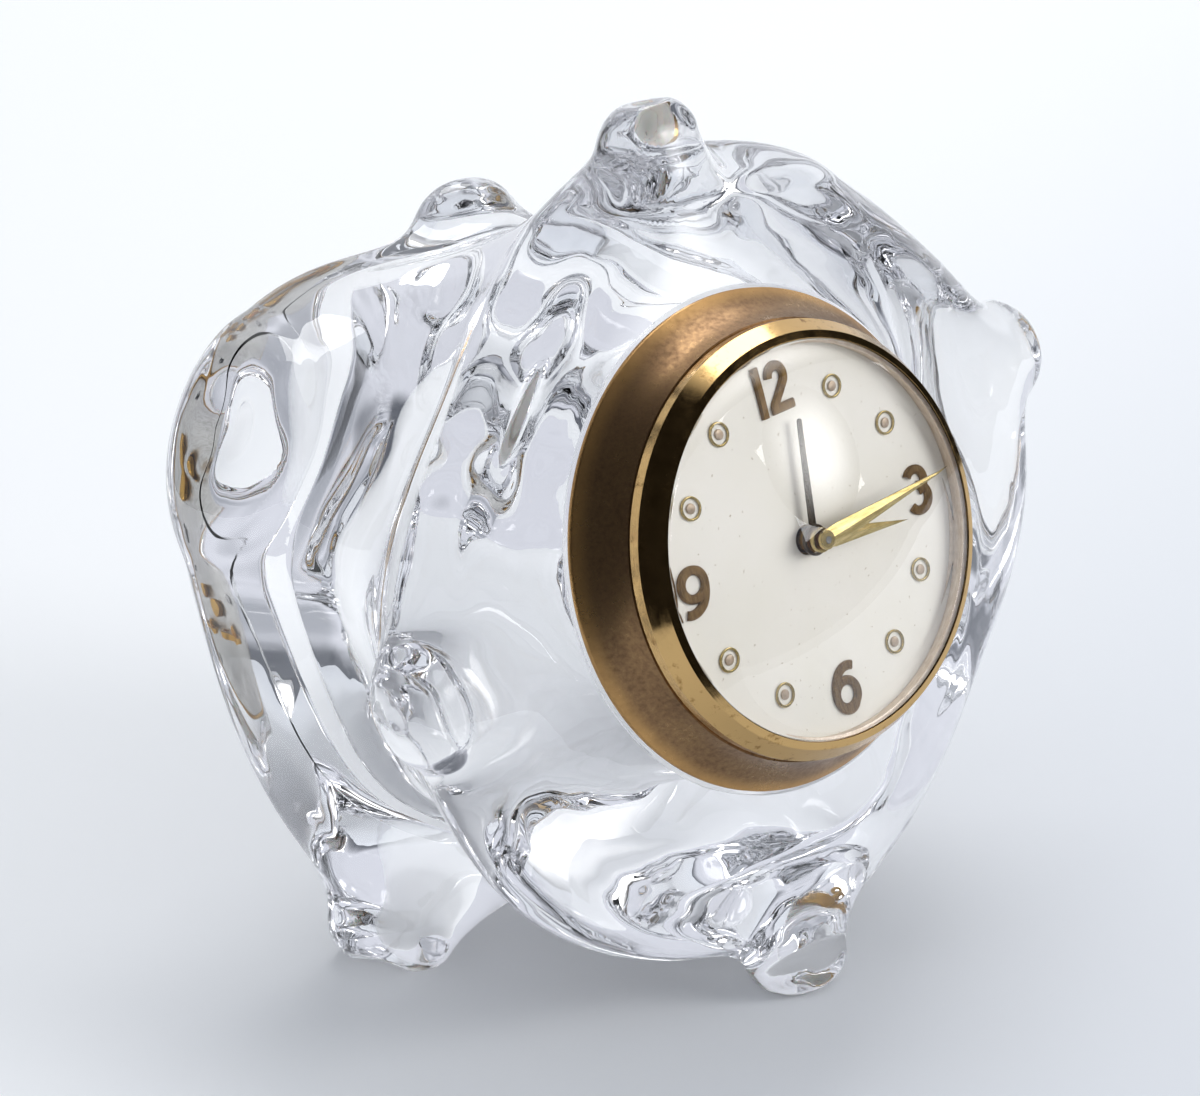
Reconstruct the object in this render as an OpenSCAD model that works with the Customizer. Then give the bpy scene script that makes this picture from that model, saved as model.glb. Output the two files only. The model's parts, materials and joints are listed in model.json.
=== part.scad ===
// Desk alarm clock: a hand-worked clear crystal block with eight pulled nubs, standing on three
// of them, bored through to hold a round wind-up alarm movement with a brass bezel and flange.
// Length in millimetres. The dial axis leans back; +Z is up and the dial faces -Y.
// The dial frame used inside upright(): x to three o'clock, y to twelve, z out of the dial face.

/* [Stance] */
// lean of the dial back from the vertical, in degrees
lean = 20.5; // [15:0.5:26]
// height of the dial centre over the table
dial_lift = 68.2; // [66.5:0.1:69]

/* [Crystal block] */
// depth of the block from the dial face to its flat back
block_depth = 70; // [66:0.5:74]
// mean radius of the ridge round the front face
front_ridge_r = 54; // [51:0.5:57]
// mean radius of the ridge round the back face
back_ridge_r = 51; // [49:0.5:54]
// mean radius of the waist between the two ridges
waist_r = 46; // [44:0.5:48]
// how much the waist swells and sinks between nubs
waist_swell = 1.5; // [0:0.25:2.5]
// reach of a full nub from the dial axis
nub_reach = 65; // [63:0.5:67]
// half width of a full nub
nub_w = 10; // [9:0.25:11]
// radius inside which the nubs leave the face alone
calm_r = 35; // [34:0.5:38]
// radius from which the nubs pull the face in full
pull_r = 47; // [45:0.5:50]
// radius of the flat part of the front face
face_r = 41; // [40:0.5:43]
// radius of the flat part of the back face
back_flat_r = 40; // [38:0.5:43]
// fall of the front ridge towards the face
ridge_ease = 4.5; // [3:0.25:6]
// fall of the front ridge towards the waist
ridge_fall = 3; // [2:0.25:4]
// fall of the back ridge towards the waist
back_fall = 2; // [1:0.25:3]
// fall of the back ridge towards the back face
back_ease = 5; // [4:0.25:7]
// radius of the bore through the block
bore_r = 30.4; // [30.2:0.05:30.8]
// radius of the ground seat round the bore
seat_r = 36.5; // [35.5:0.25:37.5]
// depth of the ground seat under the dial face
seat_d = 9.8; // [9.6:0.05:10.2]
// width of the polished chamfer at the back of the bore
back_chamfer = 2; // [1:0.25:3]

/* [Case] */
// outer radius of the drum case
case_r = 28.5; // [28.3:0.1:28.6]
// wall of the drum case
case_wall = 1; // [0.8:0.1:1.1]
// depth of the drum case behind the dial face
case_depth = 30.9; // [30.8:0.1:32]
// rise of the case rim over the dial face
case_rise = 0.6; // [0.3:0.1:0.8]
// width of the ledge under the dial
ledge_w = 2.9; // [2.5:0.1:3]
// width of the step that the front plate rests on
step_w = 0.9; // [0.7:0.1:1]
// thickness of the ledge under the dial
ledge_t = 0.8; // [0.7:0.1:0.8]
// radial clearance of a pressed or sliding round fit
fit = 0.05; // [0.03:0.01:0.08]
// gap between neighbouring pieces that do not touch
gap = 0.3; // [0.2:0.05:0.35]

/* [Flange and bezel] */
// radius of the flange at its outer lip
flange_r = 34.05; // [33.8:0.05:34.4]
// radius of the flange under the bezel
flange_top_r = 29.9; // [29.8:0.05:30.1]
// depth of the flange lip
flange_d = 9.4; // [9.3:0.05:9.5]
// wall of the flange
flange_wall = 1.2; // [1:0.1:1.3]
// width of the rounded lip of the flange
lip_w = 0.7; // [0.5:0.1:0.8]
// hollow of the flange cone
flange_hollow = 0.7; // [0.3:0.1:1]
// outer radius of the bezel at its foot
bezel_r = 29.7; // [29.5:0.05:29.8]
// depth of the foot of the bezel
bezel_d = 1.6; // [1.4:0.1:1.8]
// radius of the bezel opening
bezel_open_r = 26.6; // [26.5:0.05:26.8]
// height of the bezel over the dial
bezel_rise = 3.3; // [3.2:0.05:3.6]
// height of the shoulder of the bezel
bezel_shoulder = 2.8; // [2.7:0.05:2.9]
// radius of the shoulder of the bezel
bezel_shoulder_r = 27.95; // [27.8:0.05:28.1]
// radius of the mid line of the bezel
bezel_mid_r = 28.9; // [28.8:0.05:29]
// height of the mid line of the bezel
bezel_mid = 1.4; // [1.2:0.1:1.6]
// height of the upright band round the foot of the bezel
bezel_band = 0.3; // [0.1:0.1:0.5]

/* [Lens and dial] */
// radius of the dial plate
dial_r = 26.2; // [26:0.05:26.3]
// thickness of the dial plate
dial_t = 0.5; // [0.4:0.05:0.5]
// radius of the hole in the dial
dial_hole_r = 2.05; // [2:0.05:2.3]
// inner radius of the reflector ring between dial and lens
rehaut_r = 26.1; // [25.9:0.05:26.15]
// height of the reflector ring
rehaut_h = 1.9; // [1.7:0.05:1.9]
// thickness of the flat edge of the lens
lens_edge = 0.5; // [0.4:0.05:0.5]
// radius of the upright wall of the lens
lens_r = 26.4; // [26.2:0.05:26.5]
// height of the upright wall of the lens over the dial
lens_wall_h = 4.8; // [4.7:0.1:5.2]
// height of the dome of the lens at its middle
lens_h = 8.6; // [8.4:0.1:9.2]
// thickness of the lens
lens_t = 1; // [0.8:0.1:1.1]
// radius of the circle of hour marks
mark_r = 21; // [20.5:0.1:21.3]
// outer radius of an hour ring
mark_ring_r = 1.65; // [1.5:0.05:1.8]
// width of the band of an hour ring
mark_band = 0.35; // [0.3:0.05:0.4]
// radius of the pip in an hour ring
mark_pip_r = 0.7; // [0.6:0.05:0.8]
// thickness of an hour mark
mark_t = 0.3; // [0.25:0.05:0.4]
// height of a numeral
numeral_h = 7; // [6.5:0.1:7.2]
// width of a numeral stroke
stroke_w = 1.3; // [1.1:0.05:1.4]
// thickness of a numeral
numeral_t = 0.5; // [0.4:0.05:0.6]

/* [Hands] */
// length of the minute hand
minute_len = 24.3; // [22.5:0.1:24.4]
// height of the minute hand over the dial
minute_h = 3.6; // [3.5:0.05:3.7]
// half width of the minute hand
minute_half_w = 1.35; // [1.1:0.05:1.5]
// length of the hour hand
hour_len = 16.2; // [15:0.1:17]
// height of the hour hand over the dial
hour_h = 2.4; // [2.35:0.05:2.5]
// half width of the hour hand
hour_half_w = 1.35; // [1.1:0.05:1.5]
// length of the alarm hand
alarm_len = 16.4; // [15:0.1:17]
// height of the alarm hand over the dial
alarm_h = 1.3; // [1.2:0.05:1.4]
// half width of the alarm hand
alarm_half_w = 0.55; // [0.4:0.05:0.6]
// thickness of a hand at its edge
hand_t = 0.25; // [0.2:0.01:0.3]
// rise of the ridge along a hand
hand_ridge = 0.4; // [0.3:0.05:0.45]
// width of the collar of a hand round its hole
collar_w = 0.45; // [0.4:0.05:0.5]
// clock angle of the minute hand in degrees
minute_turn = 84.5; // [0:0.5:359.5]
// clock angle of the hour hand in degrees
hour_turn = 99; // [0:0.5:359.5]
// clock angle of the alarm hand in degrees
alarm_turn = 8.5; // [0:0.5:359.5]

/* [Motion work] */
// radius of the centre arbor
centre_r = 0.5; // [0.46:0.01:0.52]
// outer radius of the cannon pipe
cannon_r = 0.85; // [0.83:0.01:0.87]
// outer radius of the hour pipe
hour_pipe_r = 1.25; // [1.23:0.01:1.27]
// outer radius of the alarm pipe
alarm_pipe_r = 1.7; // [1.66:0.01:1.7]
// distance of the minute wheel stud from the centre
stud_out = 6; // [5.8:0.1:6.4]
// distance of the alarm setting arbor from the centre
set_out = 9.6; // [9.5:0.05:9.8]
// depth of the alarm wheel
alarm_wheel_d = 1.5; // [1.4:0.05:1.6]
// depth of the hour wheel
hour_wheel_d = 3.3; // [3.2:0.05:3.4]
// depth of the minute wheel
minute_wheel_d = 5.1; // [5:0.05:5.2]
// thickness of a motion work wheel
motion_t = 1; // [0.8:0.05:1.1]

/* [Movement] */
// depth of the front plate
front_plate_d = 6.8; // [6.7:0.05:7]
// thickness of a plate
plate_t = 1.2; // [1:0.1:1.3]
// depth of the rear plate
rear_plate_d = 19; // [18.9:0.05:19.3]
// radius of a plate
plate_r = 27.2; // [27.1:0.05:27.25]
// radius of the circle of pillars
pillar_out = 23.5; // [23:0.1:24]
// radius of a pillar
pillar_r = 1.6; // [1.4:0.1:1.8]
// radius of a screw head
screw_head_r = 1.3; // [1.1:0.1:1.4]
// radius of a screw shank
screw_r = 0.7; // [0.6:0.05:0.8]
// height of a screw head
screw_head_t = 0.6; // [0.5:0.05:0.7]
// tooth size of the going train
train_tooth = 0.25; // [0.245:0.005:0.255]
// tooth size of the third wheel
third_tooth = 0.24; // [0.235:0.005:0.245]
// tooth size of the fourth wheel
fourth_tooth = 0.18; // [0.175:0.005:0.185]
// tooth size of the barrels
barrel_tooth = 0.28; // [0.275:0.005:0.285]
// depth of the toothed rim of the barrels
barrel_rim_d = 9; // [8.8:0.1:9.2]
// thickness of the toothed rim of the barrels
barrel_rim_t = 1.2; // [1:0.1:1.3]
// depth of the back of the barrels
barrel_end_d = 16.6; // [16.2:0.1:16.8]
// wall of a barrel
barrel_wall = 0.6; // [0.5:0.05:0.7]
// distance of the alarm barrel from the centre
alarm_barrel_out = 13; // [12.8:0.1:13.3]
// radius of a barrel arbor
barrel_arbor_r = 1.3; // [1.2:0.05:1.4]
// side of the square end of a barrel arbor
drive_side = 1.8; // [1.6:0.05:1.9]
// thickness of a train wheel
wheel_t = 0.8; // [0.6:0.05:0.9]
// thickness of a pinion
pinion_t = 1.4; // [1.2:0.05:1.6]
// depth of the centre wheel
centre_wheel_d = 17.4; // [17.3:0.05:17.5]
// depth of the third wheel
third_wheel_d = 12.2; // [12:0.05:12.4]
// depth of the fourth wheel
fourth_wheel_d = 14.7; // [14.6:0.05:14.8]
// depth of the escape wheel
escape_d = 16.9; // [16.8:0.05:17]
// radius of the escape wheel
escape_r = 3.4; // [3.2:0.05:3.5]
// radius of a train arbor
train_arbor_r = 0.5; // [0.4:0.02:0.55]
// radius of a pivot
pivot_r = 0.35; // [0.3:0.01:0.4]
// distance of the pallet arbor from the escape arbor
pallet_out = 4.6; // [4.5:0.05:4.8]
// distance of the balance staff from the pallet arbor
balance_out = 6.3; // [6:0.1:6.5]
// radius of the balance wheel
balance_r = 6.6; // [6.2:0.1:6.8]
// depth of the balance wheel
balance_d = 21.6; // [21.4:0.1:21.8]
// thickness of the balance rim
balance_t = 1; // [0.8:0.1:1.2]
// depth of the balance cock
cock_d = 24.6; // [24.5:0.05:24.8]
// depth of the regulator
regulator_d = 25.9; // [25.85:0.05:26.1]
// radius of a ratchet wheel
ratchet_r = 4.4; // [4:0.1:4.6]
// depth of the ratchet wheels
ratchet_d = 20.6; // [20.5:0.05:20.8]

/* [Back] */
// depth of the back cover
cover_d = 29.4; // [29.2:0.05:29.5]
// thickness of the back cover
cover_t = 1; // [0.8:0.1:1.1]
// depth at which the keys start
key_d = 31.2; // [31:0.1:31.5]
// length of the boss of a key
key_boss_h = 3.6; // [3.2:0.1:4]
// radius of the boss of a key
key_boss_r = 2.2; // [2:0.1:2.4]
// radius of a wing of a key
wing_r = 3.3; // [3:0.1:3.4]
// distance of a wing from the key axis
wing_out = 4.4; // [4:0.1:4.5]
// thickness of a wing
wing_t = 1.3; // [1.1:0.1:1.5]
// radius of the hole in a wing
wing_hole_r = 1.2; // [1:0.1:1.4]
// radius of a setting knob
knob_r = 2.9; // [2.6:0.1:3]
// height of a setting knob
knob_h = 3.4; // [3:0.1:4]
// radius of the alarm stop rod
stop_r = 1; // [0.9:0.05:1.1]
// radius of the alarm stop button
stop_head_r = 2; // [1.8:0.1:2.2]
// travel of the alarm stop button
stop_travel = 1.5; // [1:0.1:2]

/* [Node] */
// sub-part to draw

/* [Hidden] */

$fn = 96;
polygon_sides = 12;

// crystal block: shares of the mean radii at every eighth turn, clockwise from twelve
front_ridge_shares = [0.985, 1.045, 1.13, 1, 1.055, 1.085, 1.04, 0.87];
back_ridge_shares = [0.875, 0.87, 0.96, 0.98, 0.92, 1.11, 1.065, 1.075];
station_depth_shares = [0.114, 0.149, 0.214, 0.314, 0.414, 0.6, 0.8, 0.9, 0.971, 1, 1, 1];
nub_turns = [4, 84, 181.5, 267.5, 303.5, 9.5, 220, 144];
nub_depth_shares = [0.225, 0.345, 0.31, 0.2, 0.79, 0.98, 0.9, 0.885];
nub_reach_shares = [0.94, 1.06, 1.01, 0.93, 0.91, 0.81, 0.99, 0.995];
nub_width_shares = [0.7, 0.72, 0.7, 0.75, 1.6, 0.94, 0.93, 1.05];
nub_edge_power = 5;
fade_start_share = 0.3;
fade_end_share = 0.8;
ring_points = 120;
steps_between = 3;
eighths = 8;
eighth_turn = 360/eighths;

// motion work and train: tooth counts and the directions of the arbors
cannon_teeth = 12;
minute_teeth = 36;
minute_leaves = 10;
hour_teeth = 40;
alarm_teeth = 40;
set_teeth = 24;
great_teeth = 72;
alarm_great_teeth = 66;
centre_leaves = 12;
centre_teeth = 64;
third_leaves = 8;
third_teeth = 60;
fourth_leaves = 8;
fourth_teeth = 80;
escape_leaves = 8;
escape_teeth = 15;
star_leaves = 10;
star_teeth = 12;
ratchet_teeth = 24;
stud_dir = 200;
set_dir = 30;
going_dir = 212;
alarm_barrel_dir = -32.5;
third_dir = 90;
fourth_dir = 150;
escape_dir = 32;
pallet_dir = -12;
balance_dir = -18;
star_dir = 35;
pressure = 25;
addendum_share = 0.7;
dedendum_share = 0.95;
thin_share = 0.12;
flank_steps = 3;

motion_tooth = 2*stud_out/(cannon_teeth + minute_teeth);
hour_tooth = 2*stud_out/(minute_leaves + hour_teeth);
set_tooth = 2*set_out/(alarm_teeth + set_teeth);
function reach(size, a, b) = size*(a + b)/2;
function polar(r, turn) = [r*cos(turn), r*sin(turn)];
going_at = polar(reach(barrel_tooth, great_teeth, centre_leaves), going_dir);
alarm_at = polar(alarm_barrel_out, alarm_barrel_dir);
stud_at = polar(stud_out, stud_dir);
set_at = polar(set_out, set_dir);
third_at = polar(reach(train_tooth, centre_teeth, third_leaves), third_dir);
fourth_at = third_at + polar(reach(third_tooth, third_teeth, fourth_leaves), fourth_dir);
escape_at = fourth_at + polar(reach(fourth_tooth, fourth_teeth, escape_leaves), escape_dir);
pallet_at = escape_at + polar(pallet_out, pallet_dir);
balance_at = pallet_at + polar(balance_out, balance_dir);
star_at = alarm_at + polar(reach(barrel_tooth, alarm_great_teeth, star_leaves), star_dir);

// rest phase of the driven gear, so that its gap faces the tooth of the driver
function mesh_turn(dir, za, turn_a, zb) = dir + 180 - (180 - (dir - turn_a)*za)/zb;
minute_phase = mesh_turn(stud_dir, cannon_teeth, 0, minute_teeth);
hour_phase = mesh_turn(stud_dir + 180, minute_leaves, 0, hour_teeth);
set_phase = mesh_turn(set_dir, alarm_teeth, 0, set_teeth);
going_phase = mesh_turn(going_dir, centre_leaves, 0, great_teeth);
third_phase = mesh_turn(third_dir, centre_teeth, 0, third_leaves);
fourth_phase = mesh_turn(fourth_dir, third_teeth, 0, fourth_leaves);
escape_phase = mesh_turn(escape_dir, fourth_teeth, 0, escape_leaves);
star_phase = mesh_turn(star_dir, alarm_great_teeth, 0, star_leaves);

// stance
front_foot = 2;
function foot_out(k) = (-dial_lift - nub_z(k)*sin(lean))/(cos(nub_turns[k])*cos(lean));
function nub_z(k) = -nub_depth_shares[k]*block_depth;
function foot_x(k) = foot_out(k)*sin(nub_turns[k]);
function foot_y(k) = foot_out(k)*cos(nub_turns[k])*sin(lean) - nub_z(k)*cos(lean);

// colours
glass_look = [0.86, 0.88, 0.93, 0.45];
brass_look = [0.80, 0.62, 0.28];
bronze_look = [0.56, 0.40, 0.20];
steel_look = [0.55, 0.55, 0.56];
dark_steel_look = [0.33, 0.31, 0.29];
dial_look = [0.88, 0.87, 0.83];
rubber_look = [0.12, 0.12, 0.12];
nylon_look = [0.90, 0.89, 0.86];
nickel_look = [0.80, 0.79, 0.77];

module upright() {
    translate([-foot_x(front_foot), -foot_y(front_foot), dial_lift])
        rotate([90 - lean, 0, 0])
            children();
}

// a round bar from one depth to a lower one; depths are counted behind the dial face
module rod(r, from_d, to_d, at = [0, 0]) {
    translate([at.x, at.y, -to_d])
        cylinder(r = r, h = to_d - from_d);
}

module plain_rod(r, from_d, to_d, at = [0, 0]) {
    translate([at.x, at.y, -to_d])
        cylinder(r = r, h = to_d - from_d, $fn = polygon_sides);
}

module band(outer, inner, from_d, to_d, at = [0, 0]) {
    difference() {
        rod(outer, from_d, to_d, at);
        rod(inner, from_d - gap, to_d + gap, at);
    }
}

module strap(p, q, w, from_d, to_d) {
    run = q - p;
    translate([p.x, p.y, -to_d])
        rotate([0, 0, atan2(run.y, run.x)])
            translate([0, -w/2, 0])
                cube([norm(run), w, to_d - from_d]);
}

module turned(points) {
    rotate_extrude()
        polygon(points);
}

// gear outline with true involute flanks taken at a few radii
function inv_angle(c) = tan(acos(c))*180/PI - acos(c);
function half_angle(z, size, r) = let(
    pitch_r = z*size/2,
    base_r = pitch_r*cos(pressure),
    c = min(base_r/r, 1))
    90/z*(1 - thin_share) + inv_angle(cos(pressure)) - inv_angle(c);
function flank(z, size) = let(
    pitch_r = z*size/2,
    low = max(pitch_r*cos(pressure), pitch_r - dedendum_share*size),
    high = pitch_r + addendum_share*size)
    [for (k = [0:flank_steps]) low + (high - low)*k/flank_steps];
function gear_points(z, size) = let(
    root = z*size/2 - dedendum_share*size,
    radii = flank(z, size))
    [for (t = [0:z - 1], k = [0:2*flank_steps + 3])
        let(
            side = k < flank_steps + 2 ? -1 : 1,
            step = side < 0 ? k - 1 : 2*flank_steps + 2 - k,
            r = step < 0 ? root : radii[step],
            a = 360*t/z + side*half_angle(z, size, step < 0 ? radii[0] : r))
            polar(r, a)];

module gear(z, size, from_d, to_d, at, turn) {
    translate([at.x, at.y, -to_d])
        rotate([0, 0, turn])
            linear_extrude(height = to_d - from_d)
                polygon(gear_points(z, size));
}

// windows between straight spokes, all with flat sides
module windows(count, inner, outer, from_d, to_d, at, turn, spoke) {
    translate([at.x, at.y, -to_d - gap])
        rotate([0, 0, turn])
            for (k = [0:count - 1])
                rotate([0, 0, 360*k/count])
                    linear_extrude(height = to_d - from_d + 2*gap)
                        polygon(window_points(360/count, inner, outer, spoke));
}

window_steps = 3;
function window_points(span, inner, outer, spoke) = let(
    a = asin(spoke/2/inner),
    b = asin(spoke/2/outer))
    concat(
        [for (k = [0:window_steps]) polar(outer, b + (span - 2*b)*k/window_steps)],
        [for (k = [0:window_steps]) polar(inner, span - a - (span - 2*a)*k/window_steps)]);

// the crystal surface
function wrap(d) = d - 360*round(d/360);
function bump(d) = abs(d) < eighth_turn ? pow(cos(90*d/eighth_turn), 2) : 0;
function total(v, k = 0) = k == len(v) ? 0 : v[k] + total(v, k + 1);
function round_value(shares, turn) =
    total([for (k = [0:eighths - 1]) shares[k]*bump(wrap(turn - k*eighth_turn))]);
function stations(turn) = let(
    f = front_ridge_r*round_value(front_ridge_shares, turn),
    b = back_ridge_r*round_value(back_ridge_shares, turn),
    w = waist_r - waist_swell*cos(eighths*turn),
    out = [bore_r + gap, face_r, f - ridge_ease, f, f - ridge_fall, w, b - back_fall, b,
        b - back_ease, back_flat_r, bore_r + back_chamfer + gap, bore_r - back_chamfer])
    [for (k = [0:len(out) - 1]) [out[k], -block_depth*station_depth_shares[k]]];
function spline(p, s) = let(
    i = min(floor(s), len(p) - 2),
    f = s - i,
    a = p[max(i - 1, 0)],
    b = p[i],
    c = p[i + 1],
    d = p[min(i + 2, len(p) - 1)])
    (2*b + (c - a)*f + (2*a - 5*b + 4*c - d)*f*f + (3*b - a - 3*c + d)*f*f*f)/2;
function ease(s) = let(c = min(max(s, 0), 1)) c*c*(3 - 2*c);
function pulled(p, k = 0) = k == len(nub_turns) ? p : pulled(p + nub_pull(p, k), k + 1);
function nub_pull(p, k) = let(
    d = [sin(nub_turns[k]), cos(nub_turns[k]), 0],
    tip = nub_reach*nub_reach_shares[k],
    along = p*d,
    off = norm(p - [0, 0, nub_z(k)] - along*d),
    hold = ease((norm([p.x, p.y]) - calm_r)/(pull_r - calm_r)),
    near = ease((along/waist_r - fade_start_share)/(fade_end_share - fade_start_share)),
    h = hold*near/(1 + pow(off/(nub_w*nub_width_shares[k]), nub_edge_power)))
    max(tip - along, 0)*h*d;
rows = (len(station_depth_shares) - 1)*steps_between;
function skin_point(row, col) = let(
    turn = 360*col/ring_points,
    s = spline(stations(turn), row/steps_between))
    pulled([s.x*sin(turn), s.x*cos(turn), s.y]);
function skin_points() = [for (row = [0:rows], col = [0:ring_points - 1]) skin_point(row, col)];
function skin_faces() = concat(
    [[for (col = [ring_points - 1:-1:0]) col]],
    [for (row = [0:rows - 1], col = [0:ring_points - 1], half = [0:1])
        let(
            a = row*ring_points + col,
            b = row*ring_points + (col + 1) % ring_points,
            c = a + ring_points,
            d = b + ring_points)
            half == 0 ? [a, b, d] : [a, d, c]],
    [[for (col = [0:ring_points - 1]) rows*ring_points + col]]);

module crystal_block() {
    color(glass_look)
        difference() {
            upright()
                difference() {
                    polyhedron(points = skin_points(), faces = skin_faces(), convexity = 8);
                    rod(bore_r, 0, block_depth + back_chamfer);
                    rod(seat_r, 0, seat_d);
                    translate([0, 0, -block_depth - back_chamfer])
                        cylinder(r1 = bore_r + 2*back_chamfer, r2 = bore_r, h = 2*back_chamfer);
                }
            translate([-block_depth*2, -block_depth*2, -block_depth])
                cube([block_depth*4, block_depth*4, block_depth]);
        }
}

case_in = case_r - case_wall;

// ring and sleeve between the case and the crystal
module seat_gasket() {
    color(rubber_look)
        upright()
            band(flange_r - lip_w, flange_r - lip_w - flange_wall*2, flange_d, seat_d);
}

sleeve_from = seat_d + flange_wall;
sleeve_to = cover_d - flange_wall*2;
sleeve_groove = 0.4;
groove_count = 5;
groove_step = (sleeve_to - sleeve_from)/groove_count;
module friction_sleeve() {
    color(nylon_look)
        upright()
            difference() {
                band(bore_r - gap, case_r + fit, sleeve_from, sleeve_to);
                for (k = [0:groove_count - 1])
                    band(bore_r + gap, bore_r - gap - sleeve_groove,
                        sleeve_from + groove_step*(k + 1/3), sleeve_from + groove_step*(k + 2/3));
            }
}

module drum_case() {
    color(brass_look)
        upright()
            turned([[case_r, case_rise], [case_r, -case_depth], [case_in, -case_depth],
                [case_in, -front_plate_d], [case_in - step_w, -front_plate_d],
                [case_in - step_w, -dial_t - ledge_t], [case_in - ledge_w, -dial_t - ledge_t],
                [case_in - ledge_w, -dial_t], [case_in, -dial_t], [case_in, case_rise]]);
}

// concave cone with a rounded lip, spun from sheet
flange_cone_d = flange_d - lip_w*2;
cone_steps = 6;
function cone_point(k, inset) = let(s = k/cone_steps)
    [flange_top_r + (flange_r - flange_top_r)*s - inset - flange_hollow*sin(180*s),
        -bezel_d - (flange_cone_d - bezel_d)*s];
module flange_ring() {
    color(bronze_look)
        upright()
            union() {
                turned(concat(
                    [[case_r + fit, -bezel_d]],
                    [for (k = [0:cone_steps]) cone_point(k, 0)],
                    [[flange_r - lip_w/2, -flange_d + lip_w], [flange_r - flange_wall - lip_w, -flange_d]],
                    [for (k = [cone_steps:-1:1]) cone_point(k, flange_wall)],
                    [[case_r + fit, -bezel_d - flange_wall]]));
                translate([0, 0, -flange_d + lip_w])
                    rotate_extrude()
                        translate([flange_r - lip_w, 0])
                            circle(r = lip_w);
            }
}

module bezel_ring() {
    color(brass_look)
        upright()
            turned([[bezel_open_r, rehaut_h + lens_edge], [bezel_open_r, bezel_rise - fit],
                [bezel_open_r + fit, bezel_rise], [bezel_shoulder_r, bezel_shoulder],
                [bezel_mid_r, bezel_mid], [bezel_r, bezel_band], [bezel_r, -bezel_d],
                [case_r + fit, -bezel_d], [case_r + fit, case_rise], [case_in, case_rise],
                [case_in, rehaut_h + lens_edge]]);
}

// domed clear lens with a flat edge under the bezel
lens_rise = lens_h - lens_wall_h;
lens_ball_r = (lens_r*lens_r + lens_rise*lens_rise)/(2*lens_rise);
module dome(inset) {
    intersection() {
        translate([0, 0, lens_h - lens_ball_r])
            sphere(r = lens_ball_r - inset);
        translate([0, 0, rehaut_h])
            cylinder(r = lens_r - inset, h = lens_h);
    }
}
module lens() {
    color(glass_look)
        upright()
            difference() {
                union() {
                    dome(0);
                    translate([0, 0, rehaut_h])
                        cylinder(r = case_in - fit, h = lens_edge);
                }
                dome(lens_t);
                translate([0, 0, rehaut_h - lens_t])
                    cylinder(r = lens_r - lens_t, h = lens_t*2);
            }
}

module reflector_ring() {
    color(dial_look)
        upright()
            turned([[rehaut_r, 0], [case_in - fit, 0], [case_in - fit, rehaut_h],
                [rehaut_r + fit, rehaut_h]]);
}

module dial() {
    color(dial_look)
        upright()
            band(dial_r, dial_hole_r, 0, dial_t);
}

// applied numerals, drawn upright about their own middle
flag_out_share = 1.1;
flag_low_share = 1.3;
flag_high_share = 0.6;
two_r_share = 0.23;
two_end = -40;
three_r_share = 0.2;
three_low_share = 1.12;
three_top_start = -75;
three_top_end = 150;
three_low_start = -150;
three_low_end = 80;
six_r_share = 0.21;
six_tail_share = 0.55;
six_tail_start = 118;
one_shift_share = -0.3;
two_shift_share = 0.2;
module arc_stroke(r, from, to, at) {
    translate([at.x, at.y, 0])
        rotate([0, 0, from])
            rotate_extrude(angle = to - from)
                translate([r - stroke_w/2, 0])
                    square([stroke_w, numeral_t]);
}
module line_stroke(p, q) {
    strap(p, q, stroke_w, -numeral_t, 0);
}
module one_figure(at) {
    translate([at.x, at.y, 0]) {
        line_stroke([0, -numeral_h/2], [0, numeral_h/2]);
        line_stroke([-stroke_w*flag_out_share, numeral_h/2 - stroke_w*flag_low_share],
            [0, numeral_h/2 - stroke_w*flag_high_share]);
    }
}
two_r = numeral_h*two_r_share;
module two_figure(at) {
    translate([at.x, at.y, 0]) {
        arc_stroke(two_r, two_end, 180, [0, numeral_h/2 - two_r - stroke_w/2]);
        line_stroke(
            [-two_r - stroke_w/3, -numeral_h/2 + stroke_w/3],
            [two_r*cos(two_end), numeral_h/2 - two_r - stroke_w/2 + two_r*sin(two_end)]);
        line_stroke([-two_r - stroke_w/2, -numeral_h/2 + stroke_w/2],
            [two_r + stroke_w/2, -numeral_h/2 + stroke_w/2]);
    }
}
three_r = numeral_h*three_r_share;
three_low_r = three_r*three_low_share;
module three_figure() {
    arc_stroke(three_r, three_top_start, three_top_end, [0, numeral_h/2 - three_r - stroke_w/2]);
    arc_stroke(three_low_r, three_low_start, three_low_end,
        [0, -numeral_h/2 + three_low_r + stroke_w/2]);
}
six_r = numeral_h*six_r_share;
six_tail_r = numeral_h*six_tail_share;
module six_figure() {
    arc_stroke(six_r, 0, 360, [0, -numeral_h/2 + six_r + stroke_w/2]);
    arc_stroke(six_tail_r, six_tail_start, 180,
        [six_tail_r - six_r, -numeral_h/2 + six_r + stroke_w/2]);
}
module on_mark(turn) {
    translate([mark_r*sin(turn), mark_r*cos(turn), 0])
        children();
}
one_shift = numeral_h*one_shift_share;
two_shift = numeral_h*two_shift_share;
module numeral_12() {
    color(bronze_look)
        upright()
            on_mark(0) {
                one_figure([one_shift, 0]);
                two_figure([two_shift, 0]);
            }
}
module numeral_3() {
    color(bronze_look)
        upright()
            on_mark(90)
                three_figure();
}
module numeral_6() {
    color(bronze_look)
        upright()
            on_mark(180)
                six_figure();
}
module numeral_9() {
    color(bronze_look)
        upright()
            on_mark(270)
                rotate([0, 0, 180])
                    six_figure();
}

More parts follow.
